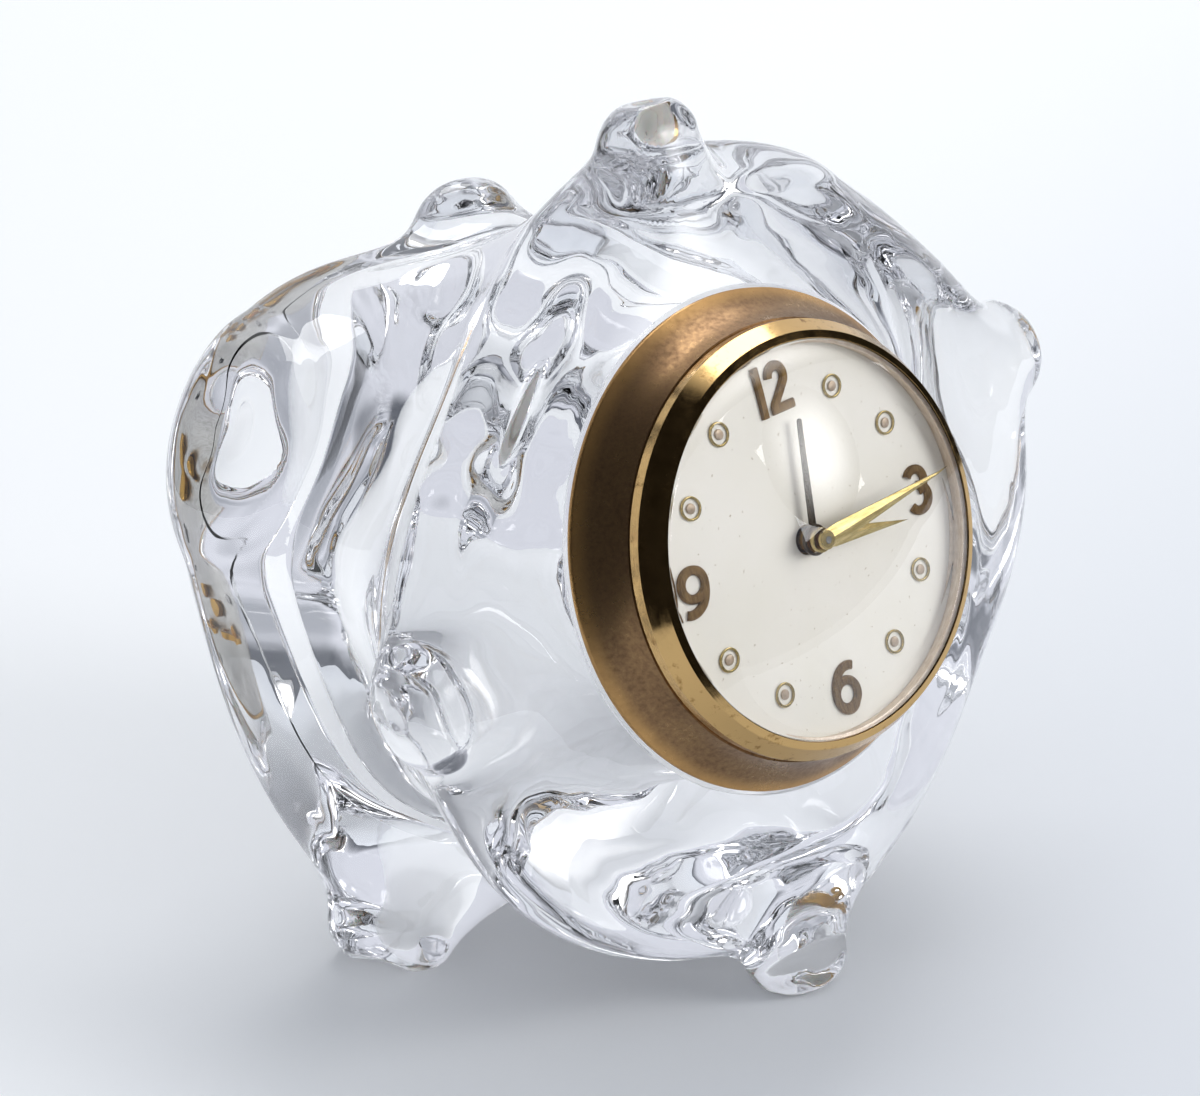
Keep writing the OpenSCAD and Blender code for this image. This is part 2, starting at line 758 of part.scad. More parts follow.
mark_hours = [1, 2, 4, 5, 7, 8, 10, 11];
hour_angle = 30;
module hour_rings() {
    color(brass_look)
        upright()
            for (h = mark_hours)
                on_mark(h*hour_angle)
                    band(mark_ring_r, mark_ring_r - mark_band, -mark_t, 0);
}
module hour_pips() {
    color(brass_look)
        upright()
            for (h = mark_hours)
                on_mark(h*hour_angle)
                    rod(mark_pip_r, -mark_t, 0);
}

// ridged blade of a hand along +y
blade_root_share = 0.7;
module blade(start, long, half_w, wide_at, ridge) {
    root = half_w*blade_root_share;
    top = hand_t + ridge;
    polyhedron(
        points = [
            [-root, start, 0], [root, start, 0], [half_w, wide_at, 0], [0, long, 0],
            [-half_w, wide_at, 0], [-root, start, hand_t], [root, start, hand_t],
            [half_w, wide_at, hand_t], [0, long, hand_t], [-half_w, wide_at, hand_t],
            [0, start, top], [0, wide_at, top]],
        faces = [
            [0, 1, 2, 3, 4], [0, 5, 10, 6, 1], [1, 6, 7, 2], [2, 7, 8, 3], [3, 8, 9, 4],
            [4, 9, 5, 0], [5, 9, 11, 10], [9, 8, 11], [8, 7, 11], [7, 6, 10, 11]]);
}
module hand(turn, height, hole, long, half_w, wide_at, ridge) {
    translate([0, 0, height])
        rotate([0, 0, -turn])
            difference() {
                union() {
                    blade(0, long, half_w, wide_at, ridge);
                    cylinder(r = hole + collar_w, h = hand_t + ridge);
                }
                translate([0, 0, -hand_t])
                    cylinder(r = hole, h = hand_t*3 + ridge);
            }
}
module minute_hand() {
    color(brass_look)
        upright()
            hand(minute_turn, minute_h, centre_r + fit/2, minute_len, minute_half_w, minute_len/8,
                hand_ridge);
}
module hour_hand() {
    color(brass_look)
        upright()
            hand(hour_turn, hour_h, hour_pipe_r + fit/2, hour_len, hour_half_w, hour_len/6,
                hand_ridge);
}
module alarm_hand() {
    color(dark_steel_look)
        upright()
            translate([0, 0, alarm_h])
                rotate([0, 0, -alarm_turn])
                    difference() {
                        union() {
                            translate([-alarm_half_w, 0, 0])
                                cube([alarm_half_w*2, alarm_len - alarm_half_w, hand_t]);
                            translate([0, alarm_len - alarm_half_w, 0])
                                cylinder(r = alarm_half_w, h = hand_t);
                            cylinder(r = alarm_pipe_r + fit/2 + collar_w, h = hand_t*2);
                        }
                        translate([0, 0, -hand_t])
                            cylinder(r = alarm_pipe_r + fit/2, h = hand_t*4);
                    }
}

// motion work under the dial
function round_out(r) = r/cos(180/polygon_sides);
knob_end_d = key_d + knob_h;
module centre_arbor() {
    color(steel_look)
        upright()
            rod(centre_r, -minute_h - hand_t - hand_ridge - fit, knob_end_d - gap*2);
}
module cannon_pinion() {
    color(brass_look)
        upright()
            difference() {
                union() {
                    gear(cannon_teeth, motion_tooth, minute_wheel_d, minute_wheel_d + motion_t,
                        [0, 0], 0);
                    plain_rod(cannon_r, -minute_h + gap/2, front_plate_d - gap);
                }
                plain_rod(round_out(centre_r + fit/2), -minute_h, front_plate_d);
            }
}
module hour_wheel() {
    color(brass_look)
        upright()
            difference() {
                union() {
                    gear(hour_teeth, hour_tooth, hour_wheel_d, hour_wheel_d + motion_t,
                        [0, 0], hour_phase);
                    plain_rod(hour_pipe_r, -hour_h - hand_t - fit, hour_wheel_d + motion_t);
                }
                plain_rod(round_out(cannon_r + fit), -minute_h, front_plate_d);
            }
}
module minute_wheel() {
    color(brass_look)
        upright()
            difference() {
                union() {
                    gear(minute_teeth, motion_tooth, minute_wheel_d, minute_wheel_d + motion_t,
                        stud_at, minute_phase);
                    gear(minute_leaves, hour_tooth, hour_wheel_d, minute_wheel_d, stud_at, 0);
                }
                plain_rod(round_out(centre_r + fit), 0, front_plate_d, stud_at);
            }
}
module alarm_wheel() {
    color(brass_look)
        upright()
            difference() {
                union() {
                    gear(alarm_teeth, set_tooth, alarm_wheel_d, alarm_wheel_d + motion_t, [0, 0], 0);
                    plain_rod(alarm_pipe_r, -alarm_h - hand_t - fit, alarm_wheel_d + motion_t);
                }
                plain_rod(round_out(hour_pipe_r + fit), -minute_h, front_plate_d);
            }
}
set_arbor_r = 0.8;
module alarm_set_arbor() {
    color(steel_look)
        upright()
            rod(set_arbor_r, alarm_wheel_d - gap, knob_end_d - gap*2, set_at);
}
module alarm_set_pinion() {
    color(brass_look)
        upright()
            difference() {
                gear(set_teeth, set_tooth, alarm_wheel_d, alarm_wheel_d + motion_t, set_at, set_phase);
                plain_rod(round_out(set_arbor_r + fit/2), 0, front_plate_d, set_at);
            }
}
notch_count = 16;
notch_r = 0.3;
module knob(shaft, at) {
    difference() {
        rod(knob_r, key_d, knob_end_d, at);
        rod(shaft + fit/2, key_d - gap, knob_end_d - gap*2, at);
        for (k = [0:notch_count - 1])
            rod(notch_r, key_d - gap, knob_end_d + gap, at + polar(knob_r, 360*k/notch_count));
    }
}
module alarm_set_knob() {
    color(brass_look)
        upright()
            knob(set_arbor_r, set_at);
}
module time_set_knob() {
    color(brass_look)
        upright()
            knob(centre_r, [0, 0]);
}

// plates and pillars
pillar_dirs = [270, 165, 60, 10];
post_dirs = [200, 320, 100];
post_out = 24.5;
post_r = 1.5;
plate_in_d = front_plate_d + plate_t;
plate_back_d = rear_plate_d + plate_t;
star_arbors = [third_at, fourth_at, escape_at, pallet_at, star_at];
hammer_out = 21;
hammer_dir = 24;
hammer_at = polar(hammer_out, hammer_dir);
staff_r = 0.5;
staff_pivot_r = 0.3;
roller_r = 1;
click_stand = 2.2;
click_out = ratchet_r + click_stand;
click_dir = 150;
alarm_click_dir = -80;
going_click_at = going_at + polar(click_out, click_dir);
alarm_click_at = alarm_at + polar(click_out, alarm_click_dir);
click_stud_r = 0.6;
barrel_pivot_r = 0.9;
module pivot_holes(from_d, to_d) {
    for (p = star_arbors)
        rod(pivot_r + fit, from_d, to_d, p);
    rod(pivot_r + fit, from_d, to_d, hammer_at);
    rod(centre_r + fit, from_d, to_d);
    rod(set_arbor_r + fit, from_d, to_d, set_at);
}
module front_plate() {
    color(brass_look)
        upright() {
            difference() {
                rod(plate_r, front_plate_d, plate_in_d);
                pivot_holes(front_plate_d - gap, plate_in_d + gap);
                rod(staff_pivot_r + fit, front_plate_d - gap, plate_in_d + gap, balance_at);
                for (p = [going_at, alarm_at])
                    rod(barrel_pivot_r + fit, front_plate_d - gap, plate_in_d + gap, p);
            }
            rod(centre_r, hour_wheel_d - gap, front_plate_d + plate_t/2, stud_at);
        }
}
module rear_plate() {
    color(brass_look)
        upright() {
            difference() {
                rod(plate_r, rear_plate_d, plate_back_d);
                pivot_holes(rear_plate_d - gap, plate_back_d + gap);
                rod(staff_r + gap*2, rear_plate_d - gap, plate_back_d + gap, balance_at);
                for (p = [going_at, alarm_at])
                    rod(barrel_arbor_r + fit, rear_plate_d - gap, plate_back_d + gap, p);
                for (d = pillar_dirs)
                    rod(screw_r + fit, rear_plate_d - gap, plate_back_d + gap, polar(pillar_out, d));
            }
            for (p = [going_click_at, alarm_click_at])
                rod(click_stud_r, plate_back_d - plate_t/2, ratchet_d + wheel_t + gap, p);
        }
}
screw_long = 2.4;
module plate_pillars() {
    color(brass_look)
        upright()
            for (d = pillar_dirs)
                difference() {
                    rod(pillar_r, plate_in_d, rear_plate_d, polar(pillar_out, d));
                    rod(screw_r + fit, rear_plate_d - screw_long, rear_plate_d + gap, polar(pillar_out, d));
                }
}
slot_w = 0.35;
module screw(at, seat_at_d, long) {
    difference() {
        union() {
            rod(screw_head_r, seat_at_d, seat_at_d + screw_head_t, at);
            rod(screw_r, seat_at_d - long, seat_at_d + screw_head_t/2, at);
        }
        strap(at - [screw_head_r*2, 0], at + [screw_head_r*2, 0], slot_w,
            seat_at_d + screw_head_t/2, seat_at_d + screw_head_t*2);
    }
}
cock_foot_dir = 150;
cock_foot_out = 9;
cock_foot_at = balance_at + polar(cock_foot_out, cock_foot_dir);
cock_foot_r = 1.8;
cock_bar_share = 1.6;
cock_end_share = 1.3;
jewel_share = 0.7;
cock_t = 1;
cock_boss_r = 1.4;
cock_boss_h = 1.5;
cock_back_d = cock_d + cock_t;
module plate_screws() {
    color(steel_look)
        upright() {
            for (d = pillar_dirs)
                screw(polar(pillar_out, d), plate_back_d, plate_t + screw_long - gap);
            screw(cock_foot_at, cock_back_d, plate_t + screw_long - gap);
        }
}

// barrels, their arbors, ratchets and clicks
barrel_sides = 60;
module many_sided(r, from_d, to_d, at) {
    translate([at.x, at.y, -to_d])
        linear_extrude(height = to_d - from_d)
            polygon([for (k = [0:barrel_sides - 1]) polar(r, 360*k/barrel_sides)]);
}
drum_wall_share = 1.2;
going_drum_r = great_teeth*barrel_tooth/2 - barrel_wall*drum_wall_share;
alarm_drum_r = alarm_great_teeth*barrel_tooth/2 - barrel_wall*drum_wall_share;
module barrel(teeth, drum_r, at, turn) {
    difference() {
        union() {
            gear(teeth, barrel_tooth, barrel_rim_d, barrel_rim_d + barrel_rim_t, at, turn);
            many_sided(drum_r, barrel_rim_d + barrel_rim_t/2, barrel_end_d, at);
        }
        many_sided(drum_r - barrel_wall, barrel_rim_d + barrel_rim_t, barrel_end_d - barrel_wall, at);
        plain_rod(round_out(barrel_arbor_r + fit), barrel_rim_d - gap, barrel_end_d + gap, at);
    }
}
module going_barrel() {
    color(brass_look)
        upright()
            barrel(great_teeth, going_drum_r, going_at, going_phase);
}
module alarm_barrel() {
    color(brass_look)
        upright()
            barrel(alarm_great_teeth, alarm_drum_r, alarm_at, 0);
}
key_bore_share = 0.7;
key_bore_d = key_d + key_boss_h*key_bore_share;
module barrel_arbor(at) {
    rod(barrel_arbor_r, plate_in_d + fit, ratchet_d - fit, at);
    rod(barrel_pivot_r, front_plate_d + gap, plate_in_d + fit*2, at);
    strap(at - [drive_side/2, 0], at + [drive_side/2, 0], drive_side, ratchet_d - gap, key_bore_d - gap);
}
module going_arbor() {
    color(steel_look)
        upright()
            barrel_arbor(going_at);
}
module alarm_arbor() {
    color(steel_look)
        upright()
            barrel_arbor(alarm_at);
}
module square_hole(at, from_d, to_d) {
    side = drive_side + fit;
    strap(at - [side/2, 0], at + [side/2, 0], side, from_d, to_d);
}
ratchet_bite = 0.5;
ratchet_slope_share = 0.1;
function ratchet_points() = [for (k = [0:ratchet_teeth - 1], h = [0:1])
    polar(h == 0 ? ratchet_r : ratchet_r - ratchet_bite, 360*(k + h*ratchet_slope_share)/ratchet_teeth)];
module ratchet(at) {
    difference() {
        translate([at.x, at.y, -ratchet_d - wheel_t])
            linear_extrude(height = wheel_t)
                polygon(ratchet_points());
        square_hole(at, ratchet_d - gap, ratchet_d + wheel_t + gap);
    }
}
module going_ratchet() {
    color(steel_look)
        upright()
            ratchet(going_at);
}
module alarm_ratchet() {
    color(steel_look)
        upright()
            ratchet(alarm_at);
}
click_w = 0.7;
click_ring_r = 1.1;
click_clear = 0.45;
click_lay = 26;
module click(pivot, wheel_at) {
    aim = wheel_at + polar(ratchet_r + click_clear + click_w/2,
        atan2(pivot.y - wheel_at.y, pivot.x - wheel_at.x) + click_lay);
    difference() {
        union() {
            rod(click_ring_r, ratchet_d, ratchet_d + wheel_t, pivot);
            strap(pivot, aim, click_w, ratchet_d, ratchet_d + wheel_t);
        }
        rod(click_stud_r + fit, ratchet_d - gap, ratchet_d + wheel_t + gap, pivot);
    }
}
module going_click() {
    color(steel_look)
        upright()
            click(going_click_at, going_at);
}
module alarm_click() {
    color(steel_look)
        upright()
            click(alarm_click_at, alarm_at);
}

// flat coiled springs as strips of straight steps
coil_steps = 20;
function coil_points(inner, outer, coils, strip) = let(n = coils*coil_steps)
    concat(
        [for (k = [0:n]) polar(inner + (outer - inner)*k/n, 360*k/coil_steps)],
        [for (k = [n:-1:0]) polar(inner + strip + (outer - inner)*k/n, 360*k/coil_steps)]);
module coil(inner, outer, coils, strip, from_d, to_d, at) {
    translate([at.x, at.y, -to_d])
        linear_extrude(height = to_d - from_d)
            polygon(coil_points(inner, outer, coils, strip));
}
spring_strip = 0.25;
mainspring_coils = 8;
module mainspring(drum_r, at) {
    coil(barrel_arbor_r + gap*2, drum_r - barrel_wall - spring_strip - gap, mainspring_coils,
        spring_strip, barrel_rim_d + barrel_rim_t + gap, barrel_end_d - barrel_wall - gap, at);
}
module going_mainspring() {
    color(steel_look)
        upright()
            mainspring(going_drum_r, going_at);
}
module alarm_mainspring() {
    color(steel_look)
        upright()
            mainspring(alarm_drum_r, alarm_at);
}

// winding keys
wing_set_share = 0.8;
wing_neck_share = 0.6;
wing_d = key_d + key_boss_h*wing_set_share + wing_r/2;
module wing(at, side) {
    translate([at.x + side*wing_out, at.y + wing_t/2, -wing_d])
        rotate([90, 0, 0])
            difference() {
                union() {
                    cylinder(r = wing_r, h = wing_t);
                    translate([side < 0 ? 0 : -wing_out, -wing_r*wing_neck_share, 0])
                        cube([wing_out, 2*wing_r*wing_neck_share, wing_t]);
                }
                translate([0, 0, -wing_t])
                    cylinder(r = wing_hole_r, h = wing_t*3);
            }
}
module key(at) {
    difference() {
        union() {
            rod(key_boss_r, key_d, key_d + key_boss_h, at);
            difference() {
                for (side = [-1, 1])
                    wing(at, side);
                rod(key_boss_r, key_d - wing_r, key_d, at);
            }
        }
        square_hole(at, key_d - gap, key_bore_d);
    }
}
module time_key() {
    color(brass_look)
        upright()
            key(going_at);
}
module alarm_key() {
    color(brass_look)
        upright()
            key(alarm_at);
}

// going train between the plates
hub_share = 1.6;
rim_share = 1.3;
spoke_w = 0.9;
pipe_share = 1.5;
module train_wheel(teeth, size, from_d, at, turn, spokes) {
    pitch_r = teeth*size/2;
    difference() {
        gear(teeth, size, from_d, from_d + wheel_t, at, turn);
        windows(spokes, centre_r*hub_share + cannon_r, pitch_r - size - rim_share*wheel_t,
            from_d, from_d + wheel_t, at, turn, spoke_w);
    }
}
module train_arbor(at) {
    plain_rod(train_arbor_r, plate_in_d + fit*2, rear_plate_d - fit*2, at);
    plain_rod(pivot_r, plate_in_d - plate_t/2, rear_plate_d + plate_t/2, at);
}
pinion_lap = (pinion_t - wheel_t)/2;
module centre_wheel() {
    color(brass_look)
        upright()
            difference() {
                union() {
                    train_wheel(centre_teeth, train_tooth, centre_wheel_d, [0, 0], 0, 5);
                    gear(centre_leaves, barrel_tooth, barrel_rim_d - fit*2,
                        barrel_rim_d + barrel_rim_t + fit*2, [0, 0], 0);
                    plain_rod(cannon_r*pipe_share, plate_in_d + fit*2, rear_plate_d - fit*2);
                }
                plain_rod(round_out(centre_r + fit), plate_in_d - gap, rear_plate_d + gap);
            }
}
module third_wheel() {
    color(brass_look)
        upright() {
            train_wheel(third_teeth, third_tooth, third_wheel_d, third_at, 0, 5);
            gear(third_leaves, train_tooth, centre_wheel_d - pinion_lap,
                centre_wheel_d + wheel_t + pinion_lap, third_at, third_phase);
            train_arbor(third_at);
        }
}
module fourth_wheel() {
    color(brass_look)
        upright() {
            train_wheel(fourth_teeth, fourth_tooth, fourth_wheel_d, fourth_at, 0, 4);
            gear(fourth_leaves, third_tooth, third_wheel_d - pinion_lap,
                third_wheel_d + wheel_t + pinion_lap, fourth_at, fourth_phase);
            train_arbor(fourth_at);
        }
}
escape_root_share = 0.78;
escape_hook = 0.42;
escape_tip = 0.1;
function escape_points() = [for (k = [0:escape_teeth - 1], h = [0:2])
    polar(h == 1 ? escape_r : escape_r*escape_root_share,
        360*(k + (h == 0 ? 0 : h == 1 ? escape_hook : escape_hook + escape_tip))/escape_teeth)];
module escape_wheel() {
    color(steel_look)
        upright() {
            translate([escape_at.x, escape_at.y, -escape_d - wheel_t])
                linear_extrude(height = wheel_t)
                    polygon(escape_points());
            gear(escape_leaves, fourth_tooth, fourth_wheel_d - pinion_lap,
                fourth_wheel_d + wheel_t + pinion_lap, escape_at, escape_phase);
            train_arbor(escape_at);
        }
}
fork_w = 0.8;
pallet_clear = 0.25;
pallet_spread = 38;
fork_short = 1.35;
module pallet_fork() {
    color(steel_look)
        upright() {
            for (side = [-1, 1])
                strap(pallet_at, escape_at + polar(escape_r + pallet_clear + fork_w/2,
                    pallet_dir + side*pallet_spread), fork_w, escape_d, escape_d + wheel_t);
            strap(pallet_at, balance_at - polar(fork_short, balance_dir), fork_w,
                escape_d, escape_d + wheel_t);
            plain_rod(fork_w, escape_d - fit, escape_d + wheel_t + fit, pallet_at);
            train_arbor(pallet_at);
        }
}

// balance, hairspring, cock and regulator
balance_rim_w = 0.9;
balance_arm_w = 1;
balance_hub_r = 1.2;
impulse_r = 0.2;
impulse_reach_share = 1.5;
module balance_wheel() {
    color(brass_look)
        upright() {
            band(balance_r, balance_r - balance_rim_w, balance_d, balance_d + balance_t, balance_at);
            strap(balance_at - [balance_r - balance_rim_w/2, 0], balance_at + [balance_r - balance_rim_w/2, 0],
                balance_arm_w, balance_d, balance_d + balance_t/2);
            rod(balance_hub_r, balance_d, balance_d + balance_t, balance_at);
            rod(collet_r, hairspring_d - fit*2, hairspring_d + hairspring_h + fit*2, balance_at);
            rod(staff_r, plate_in_d + fit*2, cock_d - fit*2, balance_at);
            rod(staff_pivot_r, plate_in_d - plate_t/2, cock_d + cock_t/2, balance_at);
            rod(roller_r, escape_d + wheel_t + gap, escape_d + wheel_t*2, balance_at);
            rod(impulse_r, escape_d, escape_d + wheel_t*impulse_reach_share, balance_at - polar(roller_r - impulse_r*2, balance_dir));
        }
}
collet_r = 0.9;
hairspring_coils = 6;
hairspring_strip = 0.12;
hairspring_out = 4.6;
hairspring_h = 0.5;
hairspring_d = 23.4;
module hairspring() {
    color(steel_look)
        upright()
            coil(collet_r + fit, hairspring_out, hairspring_coils, hairspring_strip, hairspring_d,
                hairspring_d + hairspring_h, balance_at);
}
module balance_cock() {
    color(brass_look)
        upright()
            difference() {
                union() {
                    rod(cock_foot_r, plate_back_d, cock_back_d, cock_foot_at);
                    strap(cock_foot_at, balance_at, cock_foot_r*cock_bar_share, cock_d, cock_back_d);
                    rod(cock_foot_r*cock_end_share, cock_d, cock_back_d, balance_at);
                    rod(cock_boss_r, cock_back_d, cock_back_d + cock_boss_h, balance_at);
                    rod(hairspring_strip*4, hairspring_d, cock_d + fit,
                        balance_at + [hairspring_out + hairspring_strip*5, 0]);
                    strap(balance_at, balance_at + [hairspring_out + hairspring_strip*5, 0],
                        cock_foot_r, cock_d, cock_back_d);
                    rod(cock_foot_r/2, cock_d, cock_back_d, balance_at + [hairspring_out + hairspring_strip*5, 0]);
                }
                rod(staff_pivot_r + fit, cock_d - gap, cock_d + cock_t*jewel_share, balance_at);
                rod(screw_r + fit, cock_back_d - plate_t - screw_long, cock_back_d + gap, cock_foot_at);
            }
}
regulator_dir = 45;
regulator_out = 6;
regulator_pin_r = 0.6;
slot_swing_share = 1.3;
regulator_t = 0.6;
regulator_w = 1.1;
regulator_swing = 20;
module regulator_lever() {
    tip = balance_at + polar(regulator_out, regulator_dir);
    color(steel_look)
        upright()
            difference() {
                union() {
                    rod(cock_boss_r + regulator_w, regulator_d, regulator_d + regulator_t, balance_at);
                    strap(balance_at, tip, regulator_w, regulator_d, regulator_d + regulator_t);
                    rod(regulator_pin_r, regulator_d, key_d + gap, tip);
                }
                rod(cock_boss_r + fit, regulator_d - gap, regulator_d + regulator_t + gap, balance_at);
            }
}

// alarm strike
star_r = 3.2;
star_bite = 0.9;
function star_points() = [for (k = [0:star_teeth - 1], h = [0:1])
    polar(h == 0 ? star_r : star_r - star_bite, 360*(k + h/2)/star_teeth)];
module alarm_star_wheel() {
    color(brass_look)
        upright() {
            translate([star_at.x, star_at.y, -centre_wheel_d - wheel_t])
                linear_extrude(height = wheel_t)
                    polygon(star_points());
            gear(star_leaves, barrel_tooth, barrel_rim_d - fit*2, barrel_rim_d + barrel_rim_t + fit*2,
                star_at, star_phase);
            train_arbor(star_at);
        }
}
hammer_arm = 6;
hammer_head_r = 1.2;
hammer_w = 0.8;
hammer_aim = 90;
module alarm_hammer() {
    head = hammer_at + polar(hammer_arm, hammer_aim);
    away = star_at - hammer_at;
    tail = hammer_at + away*(1 - (star_r + gap*2)/norm(away));
    color(steel_look)
        upright() {
            strap(hammer_at, head, hammer_w, centre_wheel_d, centre_wheel_d + wheel_t);
            plain_rod(hammer_head_r, centre_wheel_d - wheel_t, centre_wheel_d + wheel_t, head);
            strap(hammer_at, tail, hammer_w, centre_wheel_d, centre_wheel_d + wheel_t);
            train_arbor(hammer_at);
        }
}
stop_out = 17;
stop_dir = 160;
stop_at = polar(stop_out, stop_dir);
stop_head_d = cover_d + cover_t + stop_travel + gap*2;
stop_head_t = 1.6;
module alarm_stop() {
    color(steel_look)
        upright() {
            rod(stop_r, plate_back_d + stop_travel + gap, stop_head_d + stop_head_t/2, stop_at);
            rod(stop_head_r, stop_head_d, stop_head_d + stop_head_t, stop_at);
        }
}

// back cover on its posts
module cover_posts() {
    color(brass_look)
        upright()
            for (d = post_dirs)
                difference() {
                    rod(post_r, plate_back_d, cover_d, polar(post_out, d));
                    rod(screw_r + fit, cover_d - screw_long, cover_d + gap, polar(post_out, d));
                }
}
cover_back_d = cover_d + cover_t;
module cover_hole(r, at) {
    rod(r, cover_d - gap, cover_back_d + gap, at);
}
module back_cover() {
    color(nickel_look)
        upright()
            difference() {
                rod(case_in - fit, cover_d, cover_back_d);
                cover_hole(barrel_arbor_r + gap*2, going_at);
                cover_hole(barrel_arbor_r + gap*2, alarm_at);
                cover_hole(centre_r + gap, [0, 0]);
                cover_hole(set_arbor_r + gap, set_at);
                cover_hole(stop_r + fit, stop_at);
                for (d = post_dirs)
                    cover_hole(screw_r + fit, polar(post_out, d));
                translate([balance_at.x, balance_at.y, -cover_back_d - gap])
                    rotate([0, 0, regulator_dir - regulator_swing*slot_swing_share])
                        rotate_extrude(angle = 2*regulator_swing*slot_swing_share)
                            translate([regulator_out - regulator_pin_r - gap, 0])
                                square([regulator_pin_r*2 + gap*2, cover_t + gap*2]);
            }
}
module back_screws() {
    color(steel_look)
        upright()
            for (d = post_dirs)
                screw(polar(post_out, d), cover_back_d, cover_t + screw_long - gap);
}

crystal_block();
seat_gasket();
friction_sleeve();
drum_case();
flange_ring();
bezel_ring();
lens();
reflector_ring();
dial();
numeral_12();
numeral_3();
numeral_6();
numeral_9();
hour_rings();
hour_pips();
minute_hand();
hour_hand();
alarm_hand();
centre_arbor();
cannon_pinion();
hour_wheel();
minute_wheel();
alarm_wheel();
alarm_set_arbor();
alarm_set_pinion();
alarm_set_knob();
time_set_knob();
front_plate();
rear_plate();
plate_pillars();
plate_screws();
going_barrel();
going_arbor();
going_ratchet();
going_click();
alarm_barrel();
alarm_arbor();
alarm_ratchet();
alarm_click();
going_mainspring();
alarm_mainspring();
time_key();
alarm_key();
centre_wheel();
third_wheel();
fourth_wheel();
escape_wheel();
pallet_fork();
balance_wheel();
hairspring();
balance_cock();
regulator_lever();
alarm_star_wheel();
alarm_hammer();
alarm_stop();
cover_posts();
back_cover();
back_screws();
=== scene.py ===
"""Wind-up desk alarm clock set in a hand-worked crystal block, finished for rendering.

Laid out as an add-on and run as a script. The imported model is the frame: its nodes keep their
places, and the pieces made here ride on its bodies. Lengths are metres unless a name or a
comment says mm. The outlines and points of pieces are in mm of the dial frame, which has x to
three o'clock, y to twelve and z out of the dial.
"""
import json
import math

import bmesh
import bpy
import numpy as np
from bpy.props import FloatProperty, FloatVectorProperty, PointerProperty
from mathutils import Matrix, Vector


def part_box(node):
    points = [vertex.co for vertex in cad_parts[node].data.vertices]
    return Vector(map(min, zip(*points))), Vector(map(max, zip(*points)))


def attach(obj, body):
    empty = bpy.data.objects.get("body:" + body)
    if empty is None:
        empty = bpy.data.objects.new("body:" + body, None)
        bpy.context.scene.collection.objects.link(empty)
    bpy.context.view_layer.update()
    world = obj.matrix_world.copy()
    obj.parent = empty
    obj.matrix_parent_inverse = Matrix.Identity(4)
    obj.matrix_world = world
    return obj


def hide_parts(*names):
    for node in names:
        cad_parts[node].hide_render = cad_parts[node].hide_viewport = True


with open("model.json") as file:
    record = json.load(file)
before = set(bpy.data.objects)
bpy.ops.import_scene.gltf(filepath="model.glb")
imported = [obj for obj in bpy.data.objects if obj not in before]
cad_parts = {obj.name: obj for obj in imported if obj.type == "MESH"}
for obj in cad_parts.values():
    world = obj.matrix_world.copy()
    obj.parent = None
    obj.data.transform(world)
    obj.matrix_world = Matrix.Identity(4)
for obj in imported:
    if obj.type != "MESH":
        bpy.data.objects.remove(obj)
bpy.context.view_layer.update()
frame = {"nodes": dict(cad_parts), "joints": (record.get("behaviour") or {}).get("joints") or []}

bl_info = {
    "name": "Crystal Desk Clock",
    "version": (1, 0, 0),
    "blender": (4, 5, 0),
    "location": "View3D > Sidebar > Clock",
    "description": "Builds the crystal block, the gilt case and the dial of a wind-up desk clock",
    "category": "Object",
}

MM = 0.001

# The hands turn about the dial axis, so their joint gives the lean and the dial centre.
HANDS_JOINT = next(j for j in frame["joints"] if j["name"] == "hands_set")
AXIS_IN = Vector(HANDS_JOINT["axis"]).normalized()
HANDS_DEPTH = 6 * MM
LEAN = math.asin(-AXIS_IN.z)
CENTRE = Vector(HANDS_JOINT["pos_m"]) - AXIS_IN * HANDS_DEPTH
TILT = math.pi / 2 - LEAN
DIAL = Matrix.Translation(CENTRE) @ Matrix.Rotation(TILT, 4, "X")


def hex_colour(text):
    """Linear colour with full alpha from an sRGB hex value."""
    parts = [int(text[k:k + 2], 16) / 255 for k in (1, 3, 5)]
    return [c / 12.92 if c <= 0.04045 else ((c + 0.055) / 1.055) ** 2.4 for c in parts] + [1.0]


def size(name, text, mm):
    """A length that a user may change, kept in metres."""
    return FloatProperty(name=name, description=text, default=mm * MM, unit="LENGTH")


def tint(name, text, colour):
    """A colour that a user may change."""
    return FloatVectorProperty(name=name, description=text, default=hex_colour(colour),
                               size=4, min=0.0, max=1.0, subtype="COLOR")


class CrystalSettings(bpy.types.PropertyGroup):
    depth: size("Depth", "From the dial face to the flat back of the block", 70)
    front_ridge: size("Front ridge", "Mean radius of the ridge round the front", 54)
    back_ridge: size("Back ridge", "Mean radius of the ridge round the back", 51)
    waist: size("Waist", "Mean radius between the ridges", 46)
    nub_reach: size("Nub reach", "Reach of a full nub from the dial axis", 65)
    nub_width: size("Nub width", "Half width of a full nub", 10)
    calm: size("Calm radius", "Inside this radius the nubs leave the face alone", 35)
    pull: size("Pull radius", "From this radius the nubs pull the face in full", 47)
    dimple: size("Dimple", "Depth of the dimple in the end of a nub", 0.9)
    lip: size("Lip", "How far the rim of a nub's end swells", 0.8)
    streak: size("Streaks", "Height of the streaks drawn along the ridges", 0.45)
    ripple: size("Ripple", "Height of the ripples left by working the hot glass", 0.22)
    bore: size("Bore", "Radius of the bore", 30.4)
    seat: size("Seat", "Radius of the ground seat", 34.6)
    seat_depth: size("Seat depth", "Depth of the ground seat under the dial face", 9.8)
    colour: tint("Glass", "Tint left by the thickness of the glass", "#f4f5fb")


